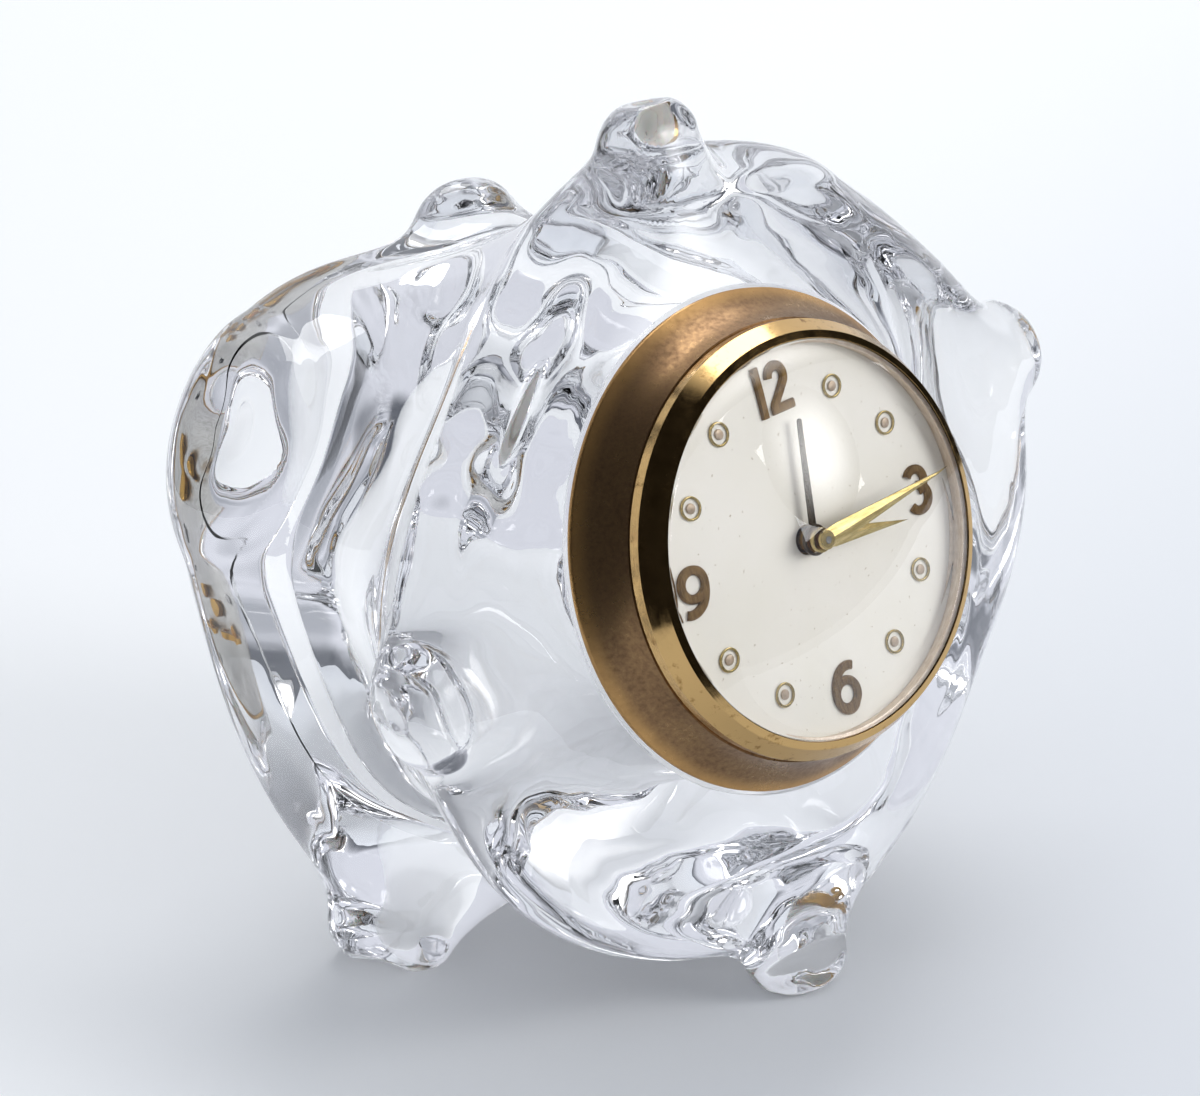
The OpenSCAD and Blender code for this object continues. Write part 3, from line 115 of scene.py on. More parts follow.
class CaseSettings(bpy.types.PropertyGroup):
    case_radius: size("Case", "Outer radius of the drum case", 28.5)
    flange_radius: size("Flange", "Radius of the flange at its lip", 34.05)
    bezel_radius: size("Bezel", "Outer radius of the bezel", 29.7)
    opening: size("Opening", "Radius of the bezel opening", 27.0)
    gilt: tint("Gilt brass", "Polished and lacquered brass", "#d3ae74")
    bronze: tint("Bronze", "Patinated brass of the flange", "#a3835a")
    bronze_dark: tint("Dark patina", "Tarnish in the hollow of the flange", "#86684a")


class DialSettings(bpy.types.PropertyGroup):
    dial_radius: size("Dial", "Radius of the dial plate", 26.2)
    mark_radius: size("Hour marks", "Radius of the circle of hour marks", 21)
    ring_radius: size("Mark ring", "Outer radius of an hour ring", 1.65)
    numeral_height: size("Numerals", "Height of a numeral", 7)
    stroke: size("Stroke", "Width of a numeral stroke", 1.28)
    silver: tint("Dial", "Matt silvered and lacquered plate", "#e9e5dc")
    numeral: tint("Numerals", "Brushed bronze-gilt of the numerals", "#8e734c")
    hand: tint("Hands", "Bright gilt of the hands", "#cdb985")
    alarm: tint("Alarm hand", "Darkened steel of the alarm hand", "#5f564c")


class StageSettings(bpy.types.PropertyGroup):
    floor_half: size("Floor behind", "Reach of the paper behind", 500)
    floor_near: size("Floor in front", "Reach of the paper in front", 260)
    paper: tint("Paper", "Paper under the clock", "#dcdfe4")
    # painted light: the paper is coloured lighter behind the clock, as if nearer the light
    paper_painted_light: tint("Paper behind", "Paper behind the clock, nearer the light", "#f8f9fa")
    room: tint("Room", "Dark room round the paper", "#1d1c1c")
    sky: tint("Light behind", "Wide light behind and above the clock", "#f4f6fa")
    haze: tint("Haze", "Pale room seen through the crystal", "#dcdfe9")
    camera_side: tint("Camera side", "Darker side of the room, behind the camera", "#a9adb6")
    edge: tint("Table edge", "Grey room low down beyond the paper", "#62666f")
    fill: tint("Fill", "Light of the room on matt surfaces", "#c6cad0")
    glow: FloatProperty(name="Diffuser", description="Strength in the middle of the diffuser",
                        default=5.5)
    lens: FloatProperty(name="Lens", description="Focal length of the camera lens",
                        default=180.0, unit="CAMERA")


GROUPS = (("clock_crystal", CrystalSettings), ("clock_case", CaseSettings),
          ("clock_dial", DialSettings), ("clock_stage", StageSettings))

COORDINATES, RAMP = "ShaderNodeTexCoord", "ShaderNodeValToRGB"
SMOOTH = {"interpolation_type": "SMOOTHSTEP"}


def short(kind, setting, names):
    """Short names for the settings of one kind of node."""
    return {name: (kind, {setting: value}, None) for name, value in names.items()}


# nodes by what they do: kind, settings, and the inputs in their order where they go by name
SHORT = {
    **short("ShaderNodeMath", "operation", {
        "+": "ADD", "-": "SUBTRACT", "*": "MULTIPLY", "*+": "MULTIPLY_ADD", "/": "DIVIDE",
        "power": "POWER", "least": "MINIMUM", "most": "MAXIMUM", "sine": "SINE",
        "cosine": "COSINE", "remainder": "MODULO"}),
    **short("ShaderNodeVectorMath", "operation", {
        "v+": "ADD", "v-": "SUBTRACT", "v*": "MULTIPLY", "v*+": "MULTIPLY_ADD",
        "dot": "DOT_PRODUCT", "length": "LENGTH", "distance": "DISTANCE", "unit": "NORMALIZE"}),
    "scaled": ("ShaderNodeVectorMath", {"operation": "SCALE"}, (0, "Scale")),
    "split": ("ShaderNodeSeparateXYZ", {}, None), "join": ("ShaderNodeCombineXYZ", {}, None),
    "range": ("ShaderNodeMapRange", {}, None), "smooth": ("ShaderNodeMapRange", SMOOTH, None),
    "mix": ("ShaderNodeMix", {"data_type": "RGBA"}, ("Factor", "A", "B")),
    "noise": ("ShaderNodeTexNoise", {}, ("Vector", "Scale", "Detail", "Roughness")),
    "noise_1d": ("ShaderNodeTexNoise", {"noise_dimensions": "1D"}, ("W", "Scale", "Detail")),
    "noise_4d": ("ShaderNodeTexNoise", {"noise_dimensions": "4D"},
                 ("Vector", "W", "Scale", "Detail")),
    "bumps": ("ShaderNodeBump", {}, ("Height", "Strength", "Distance")),
    "number_of": ("GeometryNodeInputNamedAttribute", {"data_type": "FLOAT"}, ("Name",)),
    "flag_of": ("GeometryNodeInputNamedAttribute", {"data_type": "BOOLEAN"}, ("Name",)),
    "move": ("GeometryNodeSetPosition", {}, ("Geometry", "Offset")),
    "set": ("GeometryNodeTransform", {}, ("Geometry", "Translation", "Rotation")),
    "finish": ("GeometryNodeSetMaterial", {}, ("Geometry", "Material", "Selection")),
    "real": ("GeometryNodeRealizeInstances", {}, None),
    "on_points": ("GeometryNodeInstanceOnPoints", {}, ("Points", "Instance", "Selection")),
}


def add(tree, kind, inputs=None, stops=(), **settings):
    """Add a node with its settings and colour stops. An input is set to a value, or linked to a
    socket or to the first output of a node that is in use."""
    node = tree.nodes.new(kind)
    for name, value in settings.items():
        setattr(node, name, value)
    for key, value in (inputs or {}).items():
        if isinstance(value, bpy.types.Node):
            value = next(socket for socket in value.outputs if socket.enabled)
        if isinstance(value, bpy.types.NodeSocket):
            tree.links.new(value, node.inputs[key])
        else:
            node.inputs[key].default_value = value
    if stops:
        elements = node.color_ramp.elements
        while len(elements) < len(stops):
            elements.new(0.5)
        for element, (place, colour) in zip(elements, stops):
            element.position = place
            element.color = hex_colour(colour) if isinstance(colour, str) else colour
    return node


def wire(tree, known, *rows):
    """Add a node for each row of (name, kind, settings, inputs) or (name, short, inputs). Inputs
    go by place, or by name in a dict. A string among them stands for the row of that name, or for
    one of its outputs, named after a dot."""
    for name, kind, *given in rows:
        kind, settings, order = SHORT[kind] if kind in SHORT else (kind, given.pop(0), None)
        if not (given and isinstance(given[0], dict)):
            given = [dict(zip(order or range(len(given)), given))]
        inputs = {}
        for key, value in given[0].items():
            if isinstance(value, str):
                row, _, out = value.partition(".")
                value = known[row].outputs[out] if out else known.get(row, row)
            inputs[key] = value
        known[name] = add(tree, kind, inputs, **settings)
    return known[name]


# distance from the dial axis
RADIUS = (("flat", "v*", "place", (1, 1, 0)), ("radius", "length", "flat"))


def lathe_lines(pitch_mm):
    """Rows for the height of the fine lines that a lathe leaves round the dial axis."""
    return (*RADIUS, ("parts", "split", "place"), ("run", "+", "radius", "parts.Z"),
            ("lines", "noise_1d", "run", 1 / (pitch_mm * MM), 1.0))


def surface(name, sockets, *rows):
    """A material with one Principled shader. A row that is named like a socket feeds it. The row
    "place" is the point in the dial frame, in metres."""
    made = bpy.data.materials.get(name)
    if made:
        return made
    made = bpy.data.materials.new(name)
    made.use_nodes = True
    tree = made.node_tree
    tree.nodes.clear()
    known = {}
    wire(tree, known, ("here", COORDINATES, {}),
         ("place", "ShaderNodeMapping", {"vector_type": "TEXTURE"},
          {"Vector": "here.Object", "Location": CENTRE, "Rotation": (TILT, 0, 0)}), *rows)
    volume = {"Volume": known.pop("Volume")} if "Volume" in known else {}
    fed = {row: node for row, node in known.items() if row[0].isupper()}
    body = add(tree, "ShaderNodeBsdfPrincipled", {**sockets, **fed})
    add(tree, "ShaderNodeOutputMaterial", {"Surface": body, **volume})
    return made


def glass(name, index, roughness, *rows):
    """A clear material with a refractive index."""
    return surface(name, {"Base Color": (1, 1, 1, 1), "Roughness": roughness, "IOR": index,
                          "Transmission Weight": 1.0}, *rows)


LEAD_INDEX, ACRYLIC_INDEX = 1.545, 1.49


def lead_crystal():
    """Lead crystal, fire-polished after it was pulled hot: water clear, bright edges, a faint
    cool tint in the thick parts and slow ripples that bend what is seen through it."""
    tone = bpy.context.scene.clock_crystal.colour
    # ripples about 9 mm apart, as in glass that was pulled and reheated
    return glass(
        "lead_crystal_polished", LEAD_INDEX, 0.0,
        ("Volume", "ShaderNodeVolumeAbsorption", {}, {"Color": tone, "Density": 2.5}),
        ("slow", "noise", "place", 110, 1.5), ("Normal", "bumps", "slow", 0.35, 0.2 * MM))


def ground_crystal():
    """Lead crystal ground with fine grit where the flange seats: a soft grey-white frost."""
    # 0.12 mm grit marks drawn at 0.4 mm so that they show
    return glass(
        "lead_crystal_ground", LEAD_INDEX, 0.28,
        ("grit", "noise", "place", 2500, 2.0), ("Normal", "bumps", "grit", 0.5, 0.03 * MM))


def clear_lens():
    """Moulded acrylic lens: clear and bright, with the faintest scuffs on the dome."""
    return glass(
        "acrylic_lens", ACRYLIC_INDEX, 0.0, ("scuff", "noise", "place", 900, 3.0),
        ("Roughness", "range", "scuff", 0.62, 0.8, 0.0, 0.06))


def gilt_brass():
    """Turned brass, gilt, polished and lacquered: deep yellow mirror with faint lathe lines and
    a few tarnish spots scattered over it."""
    gilt = bpy.context.scene.clock_case.gilt
    # lathe lines of 0.05 mm drawn at 0.25 mm so that they show
    return surface(
        "gilt_brass_polished", {"Metallic": 1.0},
        ("spots", "noise", "place", 420, 6.0, 0.7),
        ("Base Color", RAMP, {"stops": ((0.3, "#8a6433"), (0.42, gilt))}, "spots"),
        ("Roughness", "range", "spots", 0.35, 0.65, 0.2, 0.07),
        *lathe_lines(0.25), ("Normal", "bumps", "lines", 0.25, 0.01 * MM))


# the lip of the flange is rubbed back to warm metal between these radii, in mm
RUBBED_MM = (32.2, 34.0)


def patinated_brass():
    """Spun brass with its lacquer gone: brown tarnish in the hollow, warmer where it is handled,
    fine grainy mottling and a soft, broken shine."""
    s = bpy.context.scene.clock_case
    mottle = {"stops": ((0.3, "#624b34"), (0.46, s.bronze_dark), (0.68, s.bronze))}
    inner, outer = (radius * MM for radius in RUBBED_MM)
    return surface(
        "patinated_brass", {"Metallic": 0.85},
        ("broad", "noise", "place", 90, 5.0, 0.65), ("fine", "noise", "place", 1400, 4.0, 0.7),
        ("both", "+", "broad", "fine"), ("half", "*", "both", 0.5),
        ("mottle", RAMP, mottle, "half"), *RADIUS,
        ("worn", "smooth", "radius", inner, outer), ("patchy", "*", "worn", "broad"),
        ("rubbed", "ShaderNodeMath", {"operation": "MULTIPLY", "use_clamp": True},
         "patchy", 1.6),
        ("Base Color", "mix", "rubbed", "mottle", hex_colour("#c89c62")),
        ("Roughness", "range", "half", 0.4, 0.6, 0.42, 0.26),
        ("Normal", "bumps", "fine", 0.4, 0.03 * MM))


def turned_brass():
    """Plain turned brass of the case and the movement: satin yellow, lightly aged."""
    return surface(
        "turned_brass", {"Metallic": 1.0, "Roughness": 0.24},
        ("cloud", "noise", "place", 160, 5.0),
        ("Base Color", RAMP, {"stops": ((0.35, "#a9803f"), (0.65, "#c8a058"))}, "cloud"),
        *lathe_lines(0.3), ("Normal", "bumps", "lines", 0.35, 0.01 * MM))


def silvered_dial():
    """Silvered brass dial, matted and lacquered, now cream: even and soft, with small specks."""
    silver = bpy.context.scene.clock_dial.silver
    return surface(
        "silvered_dial", {"Roughness": 0.42, "Specular IOR Level": 0.45},
        ("cloud", "noise", "place", 60, 4.0),
        ("tone", RAMP, {"stops": ((0.3, "#e2ded2"), (0.7, silver))}, "cloud"),
        ("speck", "noise", "place", 1300, 2.0),
        ("few", RAMP, {"stops": ((0.24, "#c9c0b0"), (0.31, (1, 1, 1, 1)))}, "speck"),
        ("Base Color", "ShaderNodeMix", {"data_type": "RGBA", "blend_type": "MULTIPLY"},
         {"Factor": 1.0, "A": "tone", "B": "few"}), ("Normal", "bumps", "speck", 0.15, 0.01 * MM))


def brushed(name, colour, dark, roughness, scale):
    """Metal brushed one way: the strokes are stretched noise in the dial frame."""
    return surface(
        name, {"Metallic": 1.0, "Roughness": roughness},
        ("drawn", "ShaderNodeMapping", {}, {"Vector": "place", "Scale": scale}),
        ("stroke", "noise", "drawn", 1.0, 4.0, 0.6),
        ("Base Color", RAMP, {"stops": ((0.35, dark), (0.65, colour))}, "stroke"),
        ("Normal", "bumps", "stroke", 0.5, 0.02 * MM))


def numeral_gilt():
    """Applied numerals: bronze-gilt, dulled, brushed upright with strokes 0.3 mm apart."""
    s = bpy.context.scene.clock_dial
    return brushed("bronze_gilt_brushed", s.numeral, "#6d5334", 0.34, (3300, 500, 3300))


def hand_gilt():
    """Hands stamped from brass and gilt: bright facets with hairlines drawn along the hand."""
    s = bpy.context.scene.clock_dial
    return brushed("gilt_hand", s.hand, "#a8935a", 0.16, (300, 1800, 1800))


def dark_steel():
    """Alarm hand of darkened steel: grey-brown with a dull shine, drawn along the hand."""
    s = bpy.context.scene.clock_dial
    return brushed("darkened_steel", s.alarm, "#3a342e", 0.36, (3000, 400, 3000))


def nickel_plate():
    """Back cover plated with nickel: pale and satin, a little warm, with lathe lines."""
    return brushed("satin_nickel", "#d3d2ce", "#b3b0aa", 0.3, (900, 900, 3500))


def polished_steel():
    """Arbors, ratchets and screws: ground and polished steel, cool grey."""
    return brushed("polished_steel", "#b9b8b6", "#8d8b88", 0.22, (900, 900, 3500))


def spring_steel():
    """Mainsprings, hairspring and clicks: tempered spring steel, grey with a blue cast."""
    return brushed("spring_steel", "#8f959e", "#5b6069", 0.28, (1200, 1200, 2500))


def pip_gilt():
    """Centres of the hour marks: pale pinkish gilt, matted, almost without shine."""
    return brushed("pale_gilt", "#cdbba6", "#b5a18a", 0.4, (2500, 2500, 2500))


def champagne_ring():
    """Reflector ring between dial and lens: satin metal with a warm pinkish cast."""
    return brushed("satin_reflector", "#ecdfd0", "#d8c6b2", 0.5, (700, 700, 2600))


def natural_nylon():
    """Natural nylon of the sleeve between case and crystal: milky white, waxy, softly shining."""
    return surface(
        "natural_nylon", {"Roughness": 0.45, "Subsurface Weight": 0.3, "Subsurface Scale": MM},
        ("cloud", "noise", "place", 140, 4.0),
        ("Base Color", RAMP, {"stops": ((0.3, "#dcd7cb"), (0.7, "#ebe8df"))}, "cloud"),
        *lathe_lines(0.3), ("Normal", "bumps", "lines", 0.2, 0.01 * MM))


def gasket_rubber():
    """Black nitrile rubber under the flange: matt with a fine grain."""
    return surface(
        "nitrile_rubber", {"Roughness": 0.75}, ("grain", "noise", "place", 2200, 2.0),
        ("Base Color", RAMP, {"stops": ((0.3, "#1b1a19"), (0.7, "#292726"))}, "grain"))


def piece(name, verts, faces, material, sharp=30.0, place=DIAL, scale=MM, outwards=True):
    """A mesh object from points of the dial frame in mm, with its place in its mesh."""
    mesh = bpy.data.meshes.new(name)
    mesh.from_pydata([tuple(place @ (Vector(v) * scale)) for v in verts], [], faces)
    work = bmesh.new()
    work.from_mesh(mesh)
    bmesh.ops.remove_doubles(work, verts=work.verts, dist=1e-7)
    if outwards:
        bmesh.ops.recalc_face_normals(work, faces=work.faces)
    work.to_mesh(mesh)
    work.free()
    mesh.polygons.foreach_set("use_smooth", [True] * len(mesh.polygons))
    mesh.set_sharp_from_angle(angle=math.radians(sharp))
    mesh.materials.append(material)
    made = bpy.data.objects.new(name, mesh)
    bpy.context.scene.collection.objects.link(made)
    return made


def joined(parts):
    """Lists of (verts, faces) as one."""
    verts, faces = [], []
    for more, also in parts:
        start = len(verts)
        verts += [tuple(v) for v in more]
        faces += [tuple(k + start for k in f) for f in also]
    return verts, faces


def baked(made):
    """Turn what the modifiers make into the object's own plain mesh."""
    graph = bpy.context.evaluated_depsgraph_get()
    mesh = bpy.data.meshes.new_from_object(made.evaluated_get(graph))
    made.modifiers.clear()
    old, made.data = made.data, mesh
    bpy.data.meshes.remove(old)
    return made


def bevelled(made, width_mm, segments=2):
    """Bevel the sharp edges and keep the result as a plain mesh."""
    bevel = made.modifiers.new("Bevel", "BEVEL")
    bevel.width = width_mm * MM
    bevel.segments = segments
    bevel.limit_method = "ANGLE"
    bevel.angle_limit = math.radians(35)
    bevel.harden_normals = False
    return baked(made)


def grown(made, tree, values):
    """Run a geometry tree on the object with its inputs set by name, and keep the result."""
    modifier = made.modifiers.new(tree.name, "NODES")
    modifier.node_group = tree
    for item in tree.interface.items_tree:
        if item.item_type == "SOCKET" and item.in_out == "INPUT" and item.name in values:
            modifier[item.identifier] = values[item.name]
    made.update_tag()
    return baked(made)


def settle(made, body, *nodes):
    """Let the piece ride on a body, in place of these nodes."""
    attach(made, body)
    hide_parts(*nodes)
    return made


def filleted(corners, radius, steps=3, open_ends=False):
    """Outline with its corners rounded; close support points keep the flats flat."""
    out = []
    n = len(corners)
    least_turn, most_share, support = math.radians(8), 0.42, 1.15
    for k in range(n):
        if open_ends and k in (0, n - 1):
            out.append(tuple(corners[k]))
            continue
        a, b, c = (Vector(corners[(k + s) % n]) for s in (-1, 0, 1))
        u, v = (a - b), (c - b)
        lu, lv = u.length, v.length
        u, v = u / lu, v / lv
        turn = math.pi - math.acos(max(-1, min(1, u.dot(v))))
        if turn < least_turn:
            out.append(tuple(b))
            continue
        cut = min(radius * math.tan(turn / 2), most_share * lu, most_share * lv)
        r = cut / math.tan(turn / 2)
        middle = b + (u + v).normalized() * (r / math.cos(turn / 2))
        p, q = b + u * cut - middle, b + v * cut - middle
        side = 1 if p.x * q.y - p.y * q.x > 0 else -1
        out.append(tuple(b + u * cut * support))
        for s in range(steps + 1):
            spin = Matrix.Rotation(side * turn * s / steps, 2)
            out.append(tuple(middle + spin @ p))
        out.append(tuple(b + v * cut * support))
    return out


def turned(outline, around=256, at=(0, 0)):
    """Closed outline of (radius, height) turned about an axis along z."""
    n = len(outline)
    verts, faces = [], []
    for k in range(around):
        a = 2 * math.pi * k / around
        c, s = math.cos(a), math.sin(a)
        verts += [(at[0] + r * c, at[1] + r * s, z) for r, z in outline]
        m = (k + 1) % around
        for i in range(n):
            j = (i + 1) % n
            face = [k * n + i, k * n + j, m * n + j, m * n + i]
            # a face with an end on the axis has no second point there
            if outline[i][0] < 1e-6:
                face.pop()
            if outline[j][0] < 1e-6:
                face.pop(2)
            if len(face) > 2:
                faces.append(tuple(face))
    return verts, faces


def raised(outline, low, high):
    """Flat outline raised from one height to another."""
    n = len(outline)
    verts = [(x, y, z) for z in (low, high) for x, y in outline]
    faces = [(k, (k + 1) % n, n + (k + 1) % n, n + k) for k in range(n)]
    return verts, faces + [tuple(range(n - 1, -1, -1)), tuple(range(n, 2 * n))]


# Crystal block: shares of the mean radii at every eighth turn, clockwise from twelve.
FRONT_SHARES = (0.985, 1.045, 1.13, 1, 1.055, 1.085, 1.01, 0.87)
BACK_SHARES = (0.875, 0.87, 0.96, 0.98, 0.92, 1.11, 1.065, 1.075)
# depths of the stations of the skin, from the seat round the front and back to the bore
STATION_SHARES = (0.114, 0.149, 0.214, 0.314, 0.414, 0.6, 0.8, 0.9, 0.971, 1, 1, 1)
# the part of the stations that the skin runs over, and the samples taken along it
SKIN_RUN, SKIN_SAMPLES = (0.2, 9.94), 600
# each nub: clock angle in degrees, shares of depth, reach and width, and of the end's dimple
NUBS = ((4, 0.225, 0.94, 0.7, 1), (84, 0.345, 1.06, 0.72, 1), (181.5, 0.31, 1.01, 0.7, 1),
        (265, 0.255, 0.93, 0.78, -0.6), (303.5, 0.79, 0.91, 1.6, 1), (9.5, 0.98, 0.81, 0.94, 0.3),
        (220, 0.9, 0.99, 0.93, 1), (144, 0.885, 0.995, 1.05, 1))
EDGE_POWER = 5.0
FADE = (0.3, 0.8)
WAIST_SWELL_MM = 1.5
AROUND = 420
SKIN_ROWS = 150
BORE_ROWS = 14


def round_value(shares, turn):
    """Value at a clock angle, blended between the eighths."""
    total = 0.0
    for k, share in enumerate(shares):
        d = abs((turn - 45 * k + 180) % 360 - 180)
        if d < 45:
            total += share * math.cos(math.radians(2 * d)) ** 2
    return total


def crystal_profile(s, turn):
    """Radii and heights of the skin's stations at a clock angle, in mm."""
    front = s.front_ridge / MM * round_value(FRONT_SHARES, turn)
    back = s.back_ridge / MM * round_value(BACK_SHARES, turn)
    waist = s.waist / MM - WAIST_SWELL_MM * math.cos(math.radians(8 * turn))
    bore = s.bore / MM
    radii = (bore + 0.3, 41, front - 4.5, front, front - 3, waist, back - 2, back, back - 5,
             40, bore + 2.3, bore - 2)
    return np.array([[r, -s.depth / MM * h] for r, h in zip(radii, STATION_SHARES)])


def spline(points, s):
    """Point on the smooth curve through the stations."""
    i = min(int(s), len(points) - 2)
    f = s - i
    a, b, c, d = (points[min(max(i + k, 0), len(points) - 1)] for k in (-1, 0, 1, 2))
    return (2 * b + (c - a) * f + (2 * a - 5 * b + 4 * c - d) * f ** 2
            + (3 * b - a - 3 * c + d) * f ** 3) / 2


def crystal_rings(s):
    """Rings of the block before its nubs are pulled: (points, share that may move, ground)."""
    bore, seat, deep, depth = (v / MM for v in (s.bore, s.seat, s.seat_depth, s.depth))
    first, last = SKIN_RUN
    columns = []
    for k in range(AROUND):
        stations = crystal_profile(s, 360 * k / AROUND)
        curve = [spline(stations, first + (last - first) * j / SKIN_SAMPLES)
                 for j in range(SKIN_SAMPLES + 1)]
        start = next(j for j, p in enumerate(curve) if p[0] > seat)
        # even steps along the curve
        curve = np.array(curve[start:])
        run = np.concatenate([[0], np.cumsum(np.linalg.norm(np.diff(curve, axis=0), axis=1))])
        even = np.linspace(0, run[-1], SKIN_ROWS)
        columns.append(np.stack([np.interp(even, run, curve[:, c]) for c in (0, 1)], 1))
    rings = [(row, 1.0, False) for row in np.array(columns).transpose(1, 0, 2)]
    rings[0] = (rings[0][0], 0.0, True)
    back = [(37.0, 0), (34.6, 0), (32.7, 0), (32.3, 0), (32.1, 0.2), (30.7, 1.8), (bore, 2.3),
            (bore, 3.2)]
    length = depth - 3.2 - deep - 0.9
    polished = [(radius, rise - depth) for radius, rise in back]
    polished += [(bore, -depth + 3.2 + length * share) for share in np.linspace(0.1, 1, BORE_ROWS)]
    seating = [(bore, -0.3), (bore + 0.1, -0.1), (bore + 0.4, 0), (seat - 2.0, 0),
               (seat - 0.35, 0), (seat - 0.08, 0.1)]
    for radius, height in polished:
        rings.append((np.full((AROUND, 2), (radius, height)), 0.0, False))
    for radius, rise in seating:
        rings.append((np.full((AROUND, 2), (radius, rise - deep)), 0.0, True))
    return rings


def crystal_base(s):
    """The block before its nubs are pulled, as a closed mesh in the dial frame, in metres."""
    rings = crystal_rings(s)
    a = np.radians(np.arange(AROUND) * 360 / AROUND)
    verts, free = [], []
    for ring, share, _ in rings:
        verts.append(np.stack([ring[:, 0] * np.sin(a), ring[:, 0] * np.cos(a), ring[:, 1]], 1))
        free += [share] * AROUND
    verts = np.concatenate(verts) * MM
    faces, ground = [], []
    for i in range(len(rings)):
        j = (i + 1) % len(rings)
        for k in range(AROUND):
            m = (k + 1) % AROUND
            faces.append((i * AROUND + k, i * AROUND + m, j * AROUND + m, j * AROUND + k))
            ground.append(rings[i][2] and (rings[j][2] or j == 0))
    mesh = bpy.data.meshes.new("crystal_base")
    mesh.from_pydata(verts.tolist(), [], faces)
    mesh.attributes.new("free", "FLOAT", "POINT").data.foreach_set("value", free)
    mesh.attributes.new("ground", "BOOLEAN", "FACE").data.foreach_set("value", ground)
    mesh.polygons.foreach_set("use_smooth", [True] * len(faces))
    return mesh


def tree_with(name, **inputs):
    """A geometry tree with a geometry input and output and named inputs of these kinds, and its
    inputs as rows."""
    tree = bpy.data.node_groups.new(name, "GeometryNodeTree")
    tree.interface.new_socket("Geometry", in_out="INPUT", socket_type="NodeSocketGeometry")
    for kind, labels in inputs.items():
        for label in labels.split(", "):
            tree.interface.new_socket(label, in_out="INPUT", socket_type="NodeSocket" + kind)
    tree.interface.new_socket("Geometry", in_out="OUTPUT", socket_type="NodeSocketGeometry")
    given = add(tree, "NodeGroupInput").outputs
    return tree, {socket.name: socket for socket in given if socket.name}


def sent(tree, known):
    """Close a geometry tree: what the row "body" holds leaves it."""
    add(tree, "NodeGroupOutput", {0: known["body"]})
    return tree


# lean what "body" holds into place and give it its material
STAND = (("tilt", "-", math.pi / 2, "Lean"), ("spin", "join", "tilt"),
         ("body", "set", "body", "Centre", "spin"), ("body", "finish", "body", "Material"))


def nub_pull_tree():
    """Pull the skin out along one direction to a blunt end, as tongs do on hot glass."""
    tree, known = tree_with(
        "Nub pull", Float="Turn, Depth, Reach, Width, Waist, Calm, Pull, Dimple, Lip")
    wire(tree, known,
         ("place", "GeometryNodeInputPosition", {}),
         ("sine", "sine", "Turn"), ("cosine", "cosine", "Turn"),
         ("way", "join", "sine", "cosine"), ("along", "dot", "place", "way"),
         ("down", "*", "Depth", -1.0), ("middle", "join", {2: "down"}),
         ("beside", "v*+", "way", "along", "middle"),
         ("off", "distance", "place", "beside"), *RADIUS,
         ("hold", "smooth", "radius", "Calm", "Pull"), ("low", "*", "Waist", FADE[0]),
         ("high", "*", "Waist", FADE[1]), ("near", "smooth", "along", "low", "high"),
         ("share", "/", "off", "Width"), ("power", "power", "share", EDGE_POWER),
         ("spread", "+", "power", 1.0), ("free", "number_of", "free"),
         ("held", "*", "hold", "near"), ("held", "*", "held", "free"),
         ("held", "/", "held", "spread"), ("short", "-", "Reach", "along"),
         ("short", "most", "short", 0.0), ("move", "*", "held", "short"),
         # a shallow dimple in the end, where the glass was nipped off
         ("reached", "+", "along", "move"), ("left", "-", "Reach", "reached"),
         ("at_end", "smooth", "left", 5 * MM, 2 * MM), ("core", "smooth", "share", 0.52, 0.1),
         ("sink", "*", "at_end", "core"), ("sink", "*", "sink", "Dimple"),
         ("move", "-", "move", "sink"), ("offset", "scaled", "way", "move"),
         # the rim of the end swells where the tongs let go
         ("rim", "smooth", "share", 0.4, 0.85), ("rim_at", "smooth", "left", 7 * MM, 3 * MM),
         ("rim", "*", "rim", "rim_at"), ("rim", "*", "rim", "Lip"),
         ("aside", "v-", "place", "beside"), ("aside", "unit", "aside"),
         ("aside", "scaled", "aside", "rim"), ("offset", "v+", "offset", "aside"),
         ("body", "move", "Geometry", "offset"))
    return sent(tree, known)


